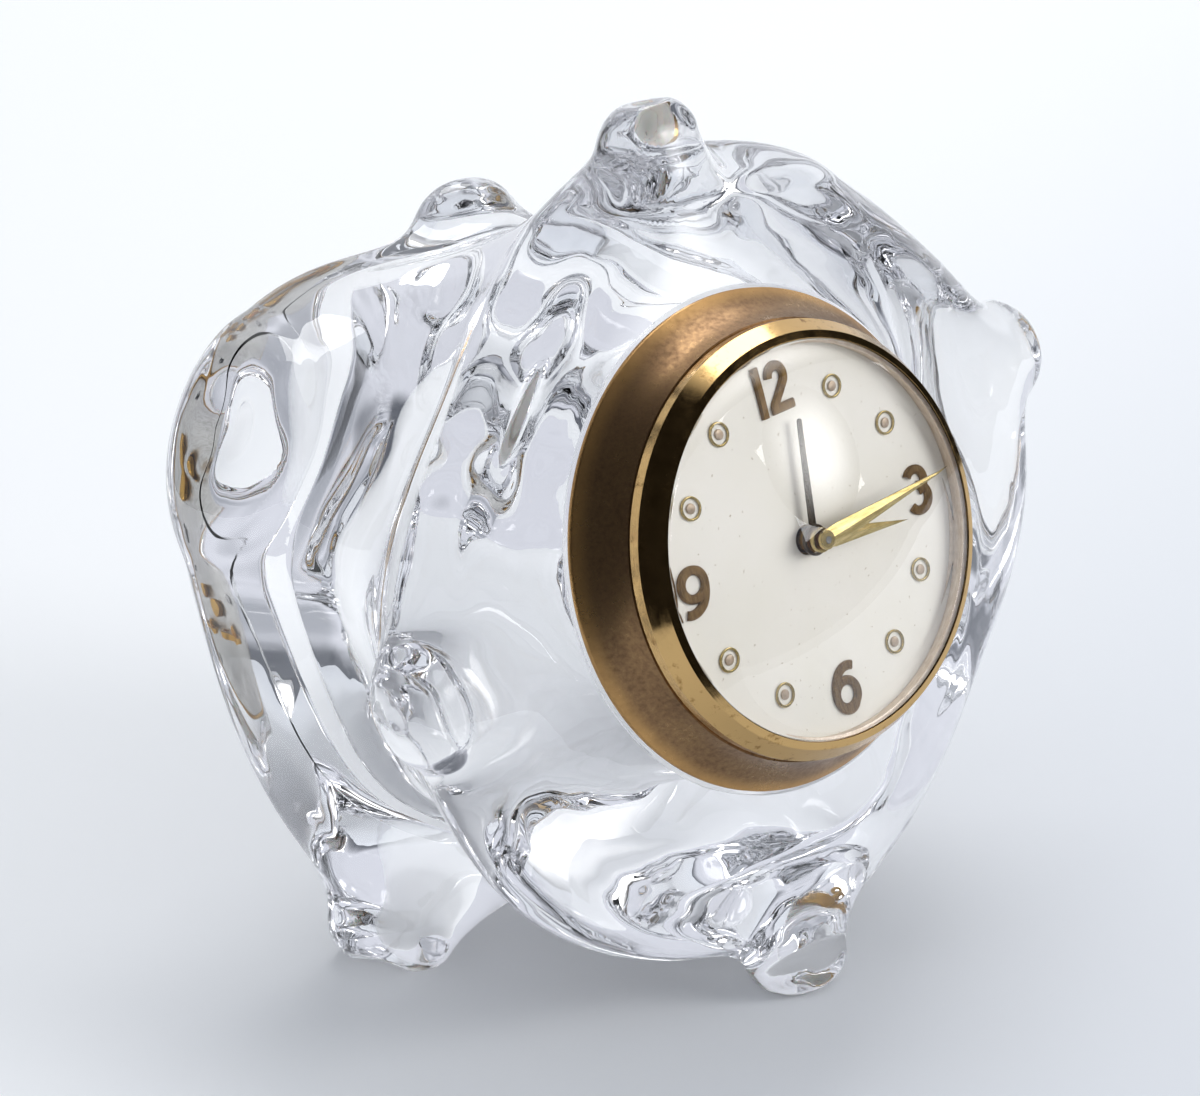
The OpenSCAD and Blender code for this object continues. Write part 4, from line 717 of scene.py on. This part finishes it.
def crystal_tree():
    """The whole block: pull eight nubs, ripple the skin, cut the feet level and set it leaning."""
    tree, known = tree_with(
        "Pulled crystal", Vector="Centre", Material="Material, Ground",
        Float="Depth, Reach, Width, Waist, Calm, Pull, Dimple, Lip, Ripple, Streak, Lean")
    pull = nub_pull_tree()
    known["body"] = known["Geometry"]
    for turn, *shares in NUBS:
        own = {"Geometry": "body", "Turn": math.radians(turn)}
        own.update((label, label) for label in ("Waist", "Calm", "Pull", "Lip"))
        for label, share in zip(("Depth", "Reach", "Width", "Dimple"), shares):
            own[label] = wire(tree, known, ("own", "*", label, share))
        wire(tree, known, ("body", "GeometryNodeGroup", {"node_tree": pull}, own))
    wire(tree, known,
         # slow ripples along the normals, 14 mm apart, fading out at the bore
         ("free", "number_of", "free"), ("place", "GeometryNodeInputPosition", {}),
         ("wave", "noise_4d", "place", 3.0, 70, 1.0),
         ("wave", "-", "wave", 0.75), *RADIUS,
         ("outer", "smooth", "radius", "Calm", "Pull"), ("wave", "*", "wave", "Ripple"),
         # streaks 6 mm apart and four times as long, drawn round the block along its ridges
         ("outwards", "unit", "flat"), ("drawn", "v*", "place", (0, 0, 1)),
         ("drawn", "v*+", "outwards", (12 * MM, 12 * MM, 0), "drawn"),
         ("streak", "noise_4d", "drawn", "radius", 160, 1.0),
         ("streak", "-", "streak", 0.7), ("parts", "split", "place"),
         ("level", "/", "parts.Z", "Depth"), ("forward", "smooth", "level", -0.6, -0.4),
         ("streak", "*", "streak", "forward"), ("wave", "*+", "streak", "Streak", "wave"),
         ("wave", "*", "wave", "outer"), ("wave", "*", "wave", "free"),
         ("normal", "GeometryNodeInputNormal", {}), ("shift", "scaled", "normal", "wave"),
         ("body", "move", "body", "shift"),
         # feet: what would pass through the table slides back along its own radius
         ("middle", "split", "Centre"), ("cosine", "cosine", "Lean"), ("sine", "sine", "Lean"),
         ("rise", "*+", "parts.Y", "cosine", "middle.Z"),
         ("rise", "*+", "parts.Z", "sine", "rise"), ("rise", "least", "rise", 0.0),
         ("drop", "split", "outwards"), ("drop", "least", "drop.Y", -0.5),
         ("drop", "*", "drop", "cosine"),
         ("back", "/", "rise", "drop"), ("back", "*", "back", -1.0),
         ("slide", "scaled", "outwards", "back"),
         ("body", "move", "body", "slide"), *STAND,
         ("ground", "flag_of", "ground"), ("body", "finish", "body", "Ground", "ground"))
    return sent(tree, known)


class CLOCK_OT_crystal(bpy.types.Operator):
    """Make the crystal block with its eight pulled nubs"""
    bl_idname = "clock.crystal"
    bl_label = "Crystal block"

    def execute(self, context):
        s = context.scene.clock_crystal
        made = bpy.data.objects.new("crystal", crystal_base(s))
        context.scene.collection.objects.link(made)
        grown(made, crystal_tree(), {
            "Depth": s.depth, "Reach": s.nub_reach, "Width": s.nub_width, "Waist": s.waist,
            "Calm": s.calm, "Pull": s.pull, "Dimple": s.dimple, "Lip": s.lip,
            "Ripple": s.ripple, "Streak": s.streak, "Lean": LEAN, "Centre": CENTRE,
            "Material": lead_crystal(), "Ground": ground_crystal()})
        low, high = (np.array(v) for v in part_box("crystal_block"))
        co = np.empty(len(made.data.vertices) * 3)
        made.data.vertices.foreach_get("co", co)
        co = np.clip(co.reshape(-1, 3), low, high)
        made.data.vertices.foreach_set("co", co.ravel())
        made.data.set_sharp_from_angle(angle=math.radians(40))
        for name in ("free", "ground"):
            made.data.attributes.remove(made.data.attributes[name])
        settle(made, "clock", "crystal_block")
        return {"FINISHED"}


# heights over the dial, in mm, where the case, the flange and the bezel meet
CASE_TOP_MM, FLANGE_TOP_MM, LENS_FLOOR_MM = 0.6, -1.6, 1.9
# radius where the lens and the reflector ring sit in the bezel
LENS_SEAT_MM = 27.35


class CLOCK_OT_case(bpy.types.Operator):
    """Make the drum case, the flange and the bezel"""
    bl_idname = "clock.case"
    bl_label = "Case, flange and bezel"

    def execute(self, context):
        s = context.scene.clock_case
        r, inner = s.case_radius / MM, s.case_radius / MM - 1
        case = filleted([(r, CASE_TOP_MM), (r, -30.9), (inner, -30.9), (inner, -6.8),
                         (inner - 0.9, -6.8), (inner - 0.9, -1.3), (inner - 2.9, -1.3),
                         (inner - 2.9, -0.5), (inner, -0.5), (inner, CASE_TOP_MM)], 0.2, 2)
        settle(piece("drum_case_turned", *turned(case), turned_brass()), "clock", "drum_case")
        f, top, wall, lip, hollow, bottom = s.flange_radius / MM, 29.9, 1.2, 0.7, 0.7, 9.4
        steps, rim_steps = 14, 12

        def cone(k, inset):
            share = k / steps
            return (top + (f - top) * share - inset - hollow * math.sin(math.pi * share),
                    FLANGE_TOP_MM - (bottom - 2 * lip + FLANGE_TOP_MM) * share)

        rim = [(f - lip + lip * math.cos(a), lip - bottom + lip * math.sin(a))
               for a in np.radians(np.linspace(75, -90, rim_steps))]
        outline = ([(r + 0.05, FLANGE_TOP_MM)] + [cone(k, 0) for k in range(steps + 1)] + rim
                   + [(f - wall - lip, -bottom)] + [cone(k, wall) for k in range(steps, 0, -1)]
                   + [(r + 0.05, FLANGE_TOP_MM - wall)])
        settle(piece("flange_spun", *turned(outline, 320), patinated_brass(), 38), "clock",
               "flange_ring")
        b, opening = s.bezel_radius / MM, s.opening / MM
        bezel = filleted([(opening, 2.4), (opening, 3.2), (opening + 0.05, 3.25), (28.1, 2.85),
                          (28.95, 1.45), (b, 0.3), (b, FLANGE_TOP_MM), (r + 0.05, FLANGE_TOP_MM),
                          (r + 0.05, CASE_TOP_MM), (inner, CASE_TOP_MM), (inner, 2.4)], 0.09, 3)
        settle(piece("bezel_turned", *turned(bezel, 384), gilt_brass()), "clock", "bezel_ring")
        return {"FINISHED"}


class CLOCK_OT_lens(bpy.types.Operator):
    """Make the domed lens"""
    bl_idname = "clock.lens"
    bl_label = "Lens"

    def execute(self, context):
        r, wall_top, top, thick, edge, low = 26.9, 3.2, 8.6, 1.0, 0.5, LENS_FLOOR_MM

        def dome(reach, rise, crown):
            ball = (reach ** 2 + rise ** 2) / (2 * rise)
            spots = list(np.linspace(0, 1, 22) ** 0.8 * (reach - 4)) + [reach]
            return [(q, crown - ball + math.sqrt(ball ** 2 - q ** 2)) for q in spots]

        outer = filleted(dome(r, top - wall_top, top) + [(r, low + edge),
                                                         (LENS_SEAT_MM, low + edge)], 0.6, 5, True)
        crown = top - thick
        inner = dome(r - 0.5, crown - low, crown)
        outline = outer + [(LENS_SEAT_MM, low)] + inner[::-1]
        made = piece("lens_domed", *turned(outline, 320), clear_lens(), 50)
        # thin clear acrylic lets the lamps through to the dial
        made.visible_shadow = False
        settle(made, "clock", "lens")
        return {"FINISHED"}


CHAMFER_MM = 0.2


def bar(path, width, height):
    """Flat bar along a path of points in mm, with square ends and a chamfered top."""
    n, half, inset = len(path), width / 2, width / 2 - CHAMFER_MM
    section = [(-half, 0), (-half, height - CHAMFER_MM), (-inset, height), (inset, height),
               (half, height - CHAMFER_MM), (half, 0)]
    m = len(section)
    verts, faces = [], []
    for k in range(n):
        before, after = Vector(path[max(k - 1, 0)]), Vector(path[min(k + 1, n - 1)])
        run = (after - before).normalized()
        side = Vector((-run.y, run.x))
        for across, up in section:
            p = Vector(path[k]) + side * across
            verts.append((p.x, p.y, up))
    for k in range(n - 1):
        for i in range(m):
            j = (i + 1) % m
            faces.append((k * m + i, k * m + j, (k + 1) * m + j, (k + 1) * m + i))
    faces += [tuple(range(m - 1, -1, -1)), tuple((n - 1) * m + i for i in range(m))]
    return verts, faces


def arc(radius, start, end, at=(0, 0), step=4):
    """Points on an arc, in mm and degrees."""
    count = max(2, int(abs(end - start) / step))
    return [(at[0] + radius * math.cos(a), at[1] + radius * math.sin(a))
            for a in np.radians(np.linspace(start, end, count + 1))]


def closed_bar(radius, width, height):
    """Round ring of the same section as a bar."""
    half, inset, side = width / 2, width / 2 - CHAMFER_MM, height - CHAMFER_MM
    return turned([(radius - half, 0), (radius + half, 0), (radius + half, side),
                   (radius + inset, height), (radius - inset, height), (radius - half, side)], 72)


# the second of two bars that cross is this much lower, in mm
CROSSING_MM = 0.01


def numeral_parts(figure, h, w, thick):
    """Bars of a numeral about its own middle, from its height, its stroke and its thickness."""
    h *= {"12": 0.96, "6": 0.98}.get(figure, 1.0)
    top, low, under = h / 2, -h / 2, thick - CROSSING_MM
    if figure == "12":
        x1, x2, r = -0.31 * h, 0.19 * h, 0.2 * h
        two = arc(r, 178, -40, (x2, top - r - w / 2))
        two += [(x2 - r + 0.05, low + w * 0.9), (x2 - r - 0.15, low + w * 0.45)]
        foot = [(x2 - r - w / 2, low + w / 2), (x2 + r + w / 2, low + w / 2)]
        flag = [(x1 - w * 0.5, top - w * 0.7), (x1, top - w * 0.45)]
        return [bar([(x1, low), (x1, top)], w, thick), bar(flag, w * 0.7, under),
                bar(two, w, thick), bar(foot, w, under)]
    if figure == "3":
        r, q = 0.22 * h, 0.245 * h
        return [bar(arc(r, 150, -80, (0, top - r - w / 2)), w, thick),
                bar(arc(q, 85, -150, (0, low + q + w / 2)), w, under)]
    r, wide, tall = 0.275 * h, 0.42 * h, h - w - 0.275 * h
    flip = -1 if figure == "9" else 1
    cy = low + r + w / 2
    verts, faces = closed_bar(r, w, thick)
    ring = [(x * flip, (y + cy) * flip, z) for x, y, z in verts]
    tail = [((wide - r + wide * x) * flip, (cy + tall * y) * flip) for x, y in arc(1, 180, 72)]
    return [(ring, faces), bar(tail, w, under)]


class CLOCK_OT_dial(bpy.types.Operator):
    """Make the dial plate, the reflector ring and the applied numerals"""
    bl_idname = "clock.dial"
    bl_label = "Dial and numerals"

    def execute(self, context):
        s = context.scene.clock_dial
        r, hole, plate_mm, numeral_mm = s.dial_radius / MM, 2.05, 0.5, 0.5
        plate = filleted([(hole, 0), (r, 0), (r, -plate_mm), (hole, -plate_mm)], 0.08, 2)
        settle(piece("dial_plate", *turned(plate, 256), silvered_dial()), "clock", "dial")
        ring = filleted([(26.1, 0), (LENS_SEAT_MM, 0), (LENS_SEAT_MM, LENS_FLOOR_MM - 0.02),
                         (26.15, LENS_FLOOR_MM - 0.02)], 0.1, 3)
        settle(piece("reflector_turned", *turned(ring, 256), champagne_ring()), "clock",
               "reflector_ring")
        h, w, out = s.numeral_height / MM, s.stroke / MM, s.mark_radius / MM
        for figure, turn in (("12", 0), ("3", 90), ("6", 180), ("9", 270)):
            a = math.radians(turn)
            cx, cy = out * math.sin(a), out * math.cos(a)
            verts, faces = joined(numeral_parts(figure, h, w, numeral_mm))
            verts = [(x + cx, y + cy, z) for x, y, z in verts]
            settle(piece("numeral_" + figure + "_applied", verts, faces, numeral_gilt(), 25),
                   "clock", "numeral_" + figure)
        return {"FINISHED"}


def marks_tree():
    """Set one shape at hours round the dial, skipping every third, which has a numeral."""
    tree, known = tree_with("Hour marks", Float="Radius, Lean", Vector="Centre",
                            Material="Material")
    wire(tree, known,
         ("circle", "GeometryNodeMeshCircle", {}, {"Vertices": 12, "Radius": "Radius"}),
         ("index", "GeometryNodeInputIndex", {}), ("third", "remainder", "index", 3.0),
         ("skip", "FunctionNodeCompare", {"operation": "GREATER_THAN"}, "third", 0.5),
         ("body", "on_points", "circle", "Geometry", "skip"),
         ("body", "real", "body"), *STAND)
    return sent(tree, known)


class CLOCK_OT_hour_marks(bpy.types.Operator):
    """Make the rings and pips that mark the hours between the numerals"""
    bl_idname = "clock.hour_marks"
    bl_label = "Hour marks"

    def execute(self, context):
        s = context.scene.clock_dial
        r, tree = s.ring_radius / MM, marks_tree()
        band = filleted([(r - 0.35, 0), (r, 0), (r, 0.3), (r - 0.35, 0.3)], 0.1, 3)
        pip = [(0, 0), (0.7, 0), (0.7, 0.18), (0.62, 0.26), (0.4, 0.3), (0, 0.3)]
        for name, outline, material, node in (
                ("hour_rings_turned", band, hand_gilt(), "hour_rings"),
                ("hour_pips_turned", pip, pip_gilt(), "hour_pips")):
            made = piece(name, *turned(outline, 48), material, 30, Matrix.Identity(4))
            grown(made, tree, {"Radius": s.mark_radius, "Lean": LEAN, "Centre": CENTRE,
                               "Material": material})
            settle(made, "clock", node)
        return {"FINISHED"}


def blade(long, half, wide_at, root):
    """Ridged blade of a hand along y, from the hub to its point, in mm."""
    thick, top = 0.25, 0.65
    rim = [(-root, 0), (root, 0), (half, wide_at), (0, long), (-half, wide_at)]
    verts = [(x, y, z) for z in (0, thick) for x, y in rim] + [(0, 0, top), (0, wide_at, top)]
    faces = [(4, 3, 2, 1, 0), (0, 1, 6, 10, 5), (1, 2, 7, 6), (2, 3, 8, 7), (3, 4, 9, 8),
             (4, 0, 5, 9), (5, 10, 11, 9), (9, 11, 8), (8, 11, 7), (7, 11, 10, 6)]
    return verts, faces


def hub(bore, radius, height, inset, edge):
    """Ring of a hand round the dial axis, with a bevelled edge, in mm."""
    return turned([(bore, 0), (radius, 0), (radius, height - edge), (radius - inset, height),
                   (bore, height)], 48)


def swung(parts, turn, height):
    """Parts turned to a clock angle and lifted over the dial."""
    spin = Matrix.Rotation(math.radians(-turn), 3, "Z")
    lift = Vector((0, 0, height))
    return [([tuple(spin @ Vector(v) + lift) for v in verts], faces) for verts, faces in parts]


class CLOCK_OT_hands(bpy.types.Operator):
    """Make the minute, hour and alarm hands"""
    bl_idname = "clock.hands"
    bl_label = "Hands"

    def execute(self, context):
        gilt, dark = hand_gilt(), dark_steel()
        minute = [blade(24.3, 1.4, 2.6, 1.3), hub(0.53, 1.3, 0.66, 0.2, 0.16)]
        hour = [blade(16.2, 1.35, 2.7, 1.2), hub(1.28, 1.7, 0.65, 0.1, 0.1)]
        root, half, start, end = 0.62, 0.4, 1.2, 16
        rod = [(-root, start), (root, start), (half, end)] + arc(half, 0, 180, (0, end), 20) \
            + [(-half, end)]
        groove = [(-0.14, 2.6), (0.14, 2.6), (0.1, 15.6), (-0.1, 15.6)]
        alarm = [raised(rod, 0, 0.22), raised(groove, 0.1, 0.27), hub(1.72, 2.15, 0.5, 0.08, 0.08)]
        for name, parts, turn, height, material, body, node in (
                ("minute_hand_gilt", minute, 84.5, 3.6, gilt, "minute_works", "minute_hand"),
                ("hour_hand_gilt", hour, 99, 2.4, gilt, "hour_works", "hour_hand"),
                ("alarm_hand_dark", alarm, 8.5, 1.3, dark, "alarm_works", "alarm_hand")):
            made = piece(name, *joined(swung(parts, turn, height)), material, 20)
            settle(bevelled(made, 0.035), body, node)
        return {"FINISHED"}


def knurl_tree():
    """Set ridges evenly round a knob and join them to it."""
    tree, known = tree_with("Knurled knob", Int="Ridges", Float="Radius, Length, Ridge, Lean",
                            Vector="At, Centre", Material="Material")
    wire(tree, known,
         ("circle", "GeometryNodeMeshCircle", {}, {"Vertices": "Ridges", "Radius": "Radius"}),
         ("ridge", "GeometryNodeMeshCylinder", {},
          {"Vertices": 8, "Radius": "Ridge", "Depth": "Length"}),
         ("placed", "on_points", "circle", "ridge"), ("placed", "real", "placed"),
         ("placed", "set", "placed", "At"), ("body", "GeometryNodeJoinGeometry", {}, "Geometry"))
    tree.links.new(known["placed"].outputs[0], known["body"].inputs[0])
    wire(tree, known, *STAND)
    return sent(tree, known)


# setting knobs, in mm: the ends of the grip, its radius, and the alarm arbor's place
KNOB_FOOT, KNOB_CAP, KNOB_END, KNOB_RADIUS = -31.2, -34.0, -34.6, 2.75
ALARM_ARBOR_OUT, ALARM_ARBOR_TURN = 9.6, math.radians(30)


class CLOCK_OT_knobs(bpy.types.Operator):
    """Make the two knurled setting knobs at the back"""
    bl_idname = "clock.knobs"
    bl_label = "Setting knobs"

    def execute(self, context):
        tree = knurl_tree()
        set_at = (ALARM_ARBOR_OUT * math.cos(ALARM_ARBOR_TURN),
                  ALARM_ARBOR_OUT * math.sin(ALARM_ARBOR_TURN))
        for name, at, hole, body, node in (
                ("time_set_knob_knurled", (0, 0), 0.55, "minute_works", "time_set_knob"),
                ("alarm_set_knob_knurled", set_at, 0.85, "alarm_setting", "alarm_set_knob")):
            outline = filleted([(hole, KNOB_FOOT), (KNOB_RADIUS, KNOB_FOOT),
                                (KNOB_RADIUS, KNOB_END), (0, KNOB_END), (0, KNOB_CAP),
                                (hole, KNOB_CAP)], 0.18, 3)
            outline = [(max(r, 0), z) for r, z in outline]
            made = piece(name, *turned(outline, 64, at), turned_brass(), 30, Matrix.Identity(4))
            grown(made, tree, {"Ridges": 28, "Radius": 2.74 * MM, "Length": 2.8 * MM,
                               "Ridge": 0.16 * MM, "At": (at[0] * MM, at[1] * MM, -32.9 * MM),
                               "Lean": LEAN, "Centre": CENTRE, "Material": turned_brass()})
            settle(made, body, node)
        return {"FINISHED"}


FINISHES = (
    (turned_brass, "cannon_pinion", "hour_wheel", "minute_wheel", "alarm_wheel",
     "alarm_set_pinion", "front_plate", "rear_plate", "plate_pillars", "going_barrel",
     "alarm_barrel", "centre_wheel", "third_wheel", "fourth_wheel", "balance_wheel",
     "balance_cock", "alarm_star_wheel", "cover_posts", "time_key", "alarm_key"),
    (polished_steel, "centre_arbor", "alarm_set_arbor", "plate_screws", "going_arbor",
     "going_ratchet", "alarm_arbor", "alarm_ratchet", "escape_wheel", "pallet_fork",
     "regulator_lever", "alarm_hammer", "alarm_stop", "back_screws"),
    (spring_steel, "going_mainspring", "alarm_mainspring", "hairspring", "going_click",
     "alarm_click"),
    (nickel_plate, "back_cover"),
    (natural_nylon, "friction_sleeve"),
    (gasket_rubber, "seat_gasket"),
)


class CLOCK_OT_movement(bpy.types.Operator):
    """Finish the nodes of the movement and the back that keep their own shape"""
    bl_idname = "clock.movement"
    bl_label = "Movement finishes"

    def execute(self, context):
        for finish, *names in FINISHES:
            material = finish()
            for name in names:
                mesh = frame["nodes"][name].data
                mesh.materials.clear()
                mesh.materials.append(material)
        return {"FINISHED"}


# The camera in the dial frame: its place in mm, its right and its up.
CAMERA_AT = (-507.05, 178.21, 598.86)
CAMERA_RIGHT = (0.7267, -0.2444, 0.642)
CAMERA_UP = (0.3251, 0.9456, -0.008)
# Directions in the room: where painted light brightens the paper, the camera, a dark flag, the
# diffuser.
PAINTED_LIGHT_WAY = (-0.35, 0.94, 0)
TOWARDS_CAMERA = (-0.6, -0.65, 0.47)
FLAG_WAY = (-0.78, 0.56, 0.27)
DIFFUSER_WAY = (0.605, -0.697, 0.382)
DIFFUSER_AWAY, DIFFUSER_RADIUS = 0.8, 0.22
AIM = (0.0, 0.04, 0.06)
FLOOR_DROP = 0.05 * MM


def paper(s):
    """Seamless paper: matt, with painted light in its colour: nearly white behind the clock,
    nearer the light, and cool grey in front of it.
    """
    return surface(
        "seamless_paper", {"Roughness": 0.85, "Specular IOR Level": 0.2},
        # painted light: the colour of the paper brightens towards the light behind the clock
        ("run", "dot", "here.Object", PAINTED_LIGHT_WAY), ("share", "smooth", "run", -0.1, 0.16),
        ("Base Color", "mix", "share", s.paper, s.paper_painted_light))


def studio_world(s):
    """White where the camera looks, a dark room for metal, a pale room with a dark camera side
    for what shows through the crystal, and an even light for matt surfaces."""
    world = bpy.data.worlds.new("studio")
    world.use_nodes = True
    tree = world.node_tree
    tree.nodes.clear()
    known = {}
    wire(tree, known,
         ("way", COORDINATES, {}), ("light", "ShaderNodeLightPath", {}),
         ("parts", "split", "way"),
         ("left", "*", "parts.X", -1.0), ("front", "*", "parts.Y", -1.0),
         ("near", "most", "left", "front"), ("dark", "smooth", "near", -0.15, 0.08),
         ("towards", "dot", "way", TOWARDS_CAMERA), ("camera", "smooth", "towards", 0.88, 0.99),
         ("flagged", "dot", "way", FLAG_WAY), ("flag", "smooth", "flagged", 0.88, 0.97),
         ("low", "smooth", "parts.Z", 0.2, -0.05), ("nearer", "smooth", "parts.Y", 0.3, -0.2),
         ("edge", "*", "low", "nearer"), ("zenith", "smooth", "parts.Z", 0.8, 0.98))
    for name, start, layers in (
            ("room", s.sky, (("dark", s.room),)),
            ("through", s.haze, (("camera", s.camera_side), ("flag", s.edge), ("edge", s.edge),
                                 ("zenith", s.camera_side))),
            ("seen", s.fill, (("light.Is Glossy Ray", "room"),
                              ("light.Is Transmission Ray", "through"),
                              ("light.Is Camera Ray", s.sky)))):
        known[name] = start
        for factor, over in layers:
            wire(tree, known, (name, "mix", factor, name, over))
    wire(tree, known, ("back", "ShaderNodeBackground", {}, {"Color": "seen", "Strength": 1.0}),
         ("out", "ShaderNodeOutputWorld", {}, {"Surface": "back"}))
    return world


def softbox(name, place, side, power):
    """Square area lamp at a place, facing the clock."""
    data = bpy.data.lights.new(name, "AREA")
    data.shape = "RECTANGLE"
    data.size = data.size_y = side
    data.energy = power
    lamp = bpy.data.objects.new(name, data)
    lamp.location = place
    lamp.rotation_euler = (Vector(AIM) - Vector(place)).to_track_quat("-Z", "Y").to_euler()
    bpy.context.scene.collection.objects.link(lamp)
    return lamp


def diffuser(s):
    """Round diffuser in front and to the right, brightest in the middle: the glow on the lens."""
    way = Vector(DIFFUSER_WAY).normalized()
    at = DIAL.translation + way * DIFFUSER_AWAY
    place = Matrix.Translation(at) @ way.to_track_quat("Z", "Y").to_matrix().to_4x4()
    around, radius = 48, DIFFUSER_RADIUS
    verts = [(0, 0, 0)] + [(radius * math.cos(a), radius * math.sin(a), 0)
                           for a in np.arange(around) * 2 * math.pi / around]
    faces = [(0, 1 + (k + 1) % around, 1 + k) for k in range(around)]
    material = bpy.data.materials.new("lit_diffuser_cloth")
    material.use_nodes = True
    tree = material.node_tree
    tree.nodes.clear()
    wire(tree, {}, ("here", COORDINATES, {}),
         ("away", "distance", "here.Object", at),
         ("glow", "smooth", "away", radius, 0.0, 0.0, s.glow),
         ("lit", "ShaderNodeEmission", {}, {"Strength": "glow"}),
         ("out", "ShaderNodeOutputMaterial", {}, {"Surface": "lit"}))
    card = piece("diffuser_cloth", verts, faces, material, 30, place, 1.0, False)
    card.visible_shadow = False


class CLOCK_OT_stage(bpy.types.Operator):
    """Make the paper floor, the lamps, the world and the camera"""
    bl_idname = "clock.stage"
    bl_label = "Stage"

    def execute(self, context):
        scene = context.scene
        s = scene.clock_stage
        h, n = s.floor_half, s.floor_near
        floor = piece("paper_floor", [(-n, -n, 0), (h, -n, 0), (h, h, 0), (-n, h, 0)],
                      [(0, 1, 2, 3)], paper(s), 30, Matrix.Translation((0, 0, -FLOOR_DROP)),
                      1.0, False)
        scene.world = studio_world(s)
        diffuser(s)
        # the metal and the lens mirror the room, not this lamp
        softbox("front_softbox", (0.68, -0.82, 0.48), 0.5, 4.8).visible_glossy = False
        softbox("top_softbox", (0.45, 0.45, 0.95), 0.6, 4.5)
        lens = bpy.data.cameras.new("photo_camera")
        lens.sensor_width = 36
        lens.lens = s.lens
        lens.clip_start = 0.05
        camera = bpy.data.objects.new("photo_camera", lens)
        turn = DIAL.to_3x3()
        right = (turn @ Vector(CAMERA_RIGHT)).normalized()
        up = turn @ Vector(CAMERA_UP)
        up = (up - right * up.dot(right)).normalized()
        facing = Matrix((right, up, right.cross(up))).transposed().to_4x4()
        camera.matrix_world = Matrix.Translation(DIAL @ (Vector(CAMERA_AT) * MM)) @ facing
        scene.collection.objects.link(camera)
        scene.camera = camera
        scene.view_settings.view_transform = "Standard"
        scene.cycles.max_bounces = 24
        scene.cycles.transmission_bounces = 24
        scene.cycles.glossy_bounces = 8
        scene.cycles.transparent_max_bounces = 16
        scene.cycles.use_denoising = True
        return {"FINISHED"}


OPERATORS = (CLOCK_OT_crystal, CLOCK_OT_case, CLOCK_OT_lens, CLOCK_OT_dial, CLOCK_OT_hour_marks,
             CLOCK_OT_hands, CLOCK_OT_knobs, CLOCK_OT_movement, CLOCK_OT_stage)


class CLOCK_PT_panel(bpy.types.Panel):
    """Lists the pieces of the clock and their sizes"""
    bl_idname = "CLOCK_PT_panel"
    bl_label = "Desk clock"
    bl_space_type = "VIEW_3D"
    bl_region_type = "UI"
    bl_category = "Clock"

    def draw(self, context):
        for operator in OPERATORS:
            self.layout.operator(operator.bl_idname)
        for name, group in GROUPS:
            box = self.layout.box()
            box.label(text=name.replace("clock_", "").capitalize())
            for key in group.__annotations__:
                box.prop(getattr(context.scene, name), key)


def register():
    for name, group in GROUPS:
        bpy.utils.register_class(group)
        setattr(bpy.types.Scene, name, PointerProperty(type=group))
    for operator in (*OPERATORS, CLOCK_PT_panel):
        bpy.utils.register_class(operator)


def unregister():
    for operator in reversed((*OPERATORS, CLOCK_PT_panel)):
        bpy.utils.unregister_class(operator)
    for name, group in reversed(GROUPS):
        delattr(bpy.types.Scene, name)
        bpy.utils.unregister_class(group)


def main():
    register()
    for operator in OPERATORS:
        module, name = operator.bl_idname.split(".")
        getattr(getattr(bpy.ops, module), name)()
    bpy.context.view_layer.update()


if __name__ == "__main__":
    main()
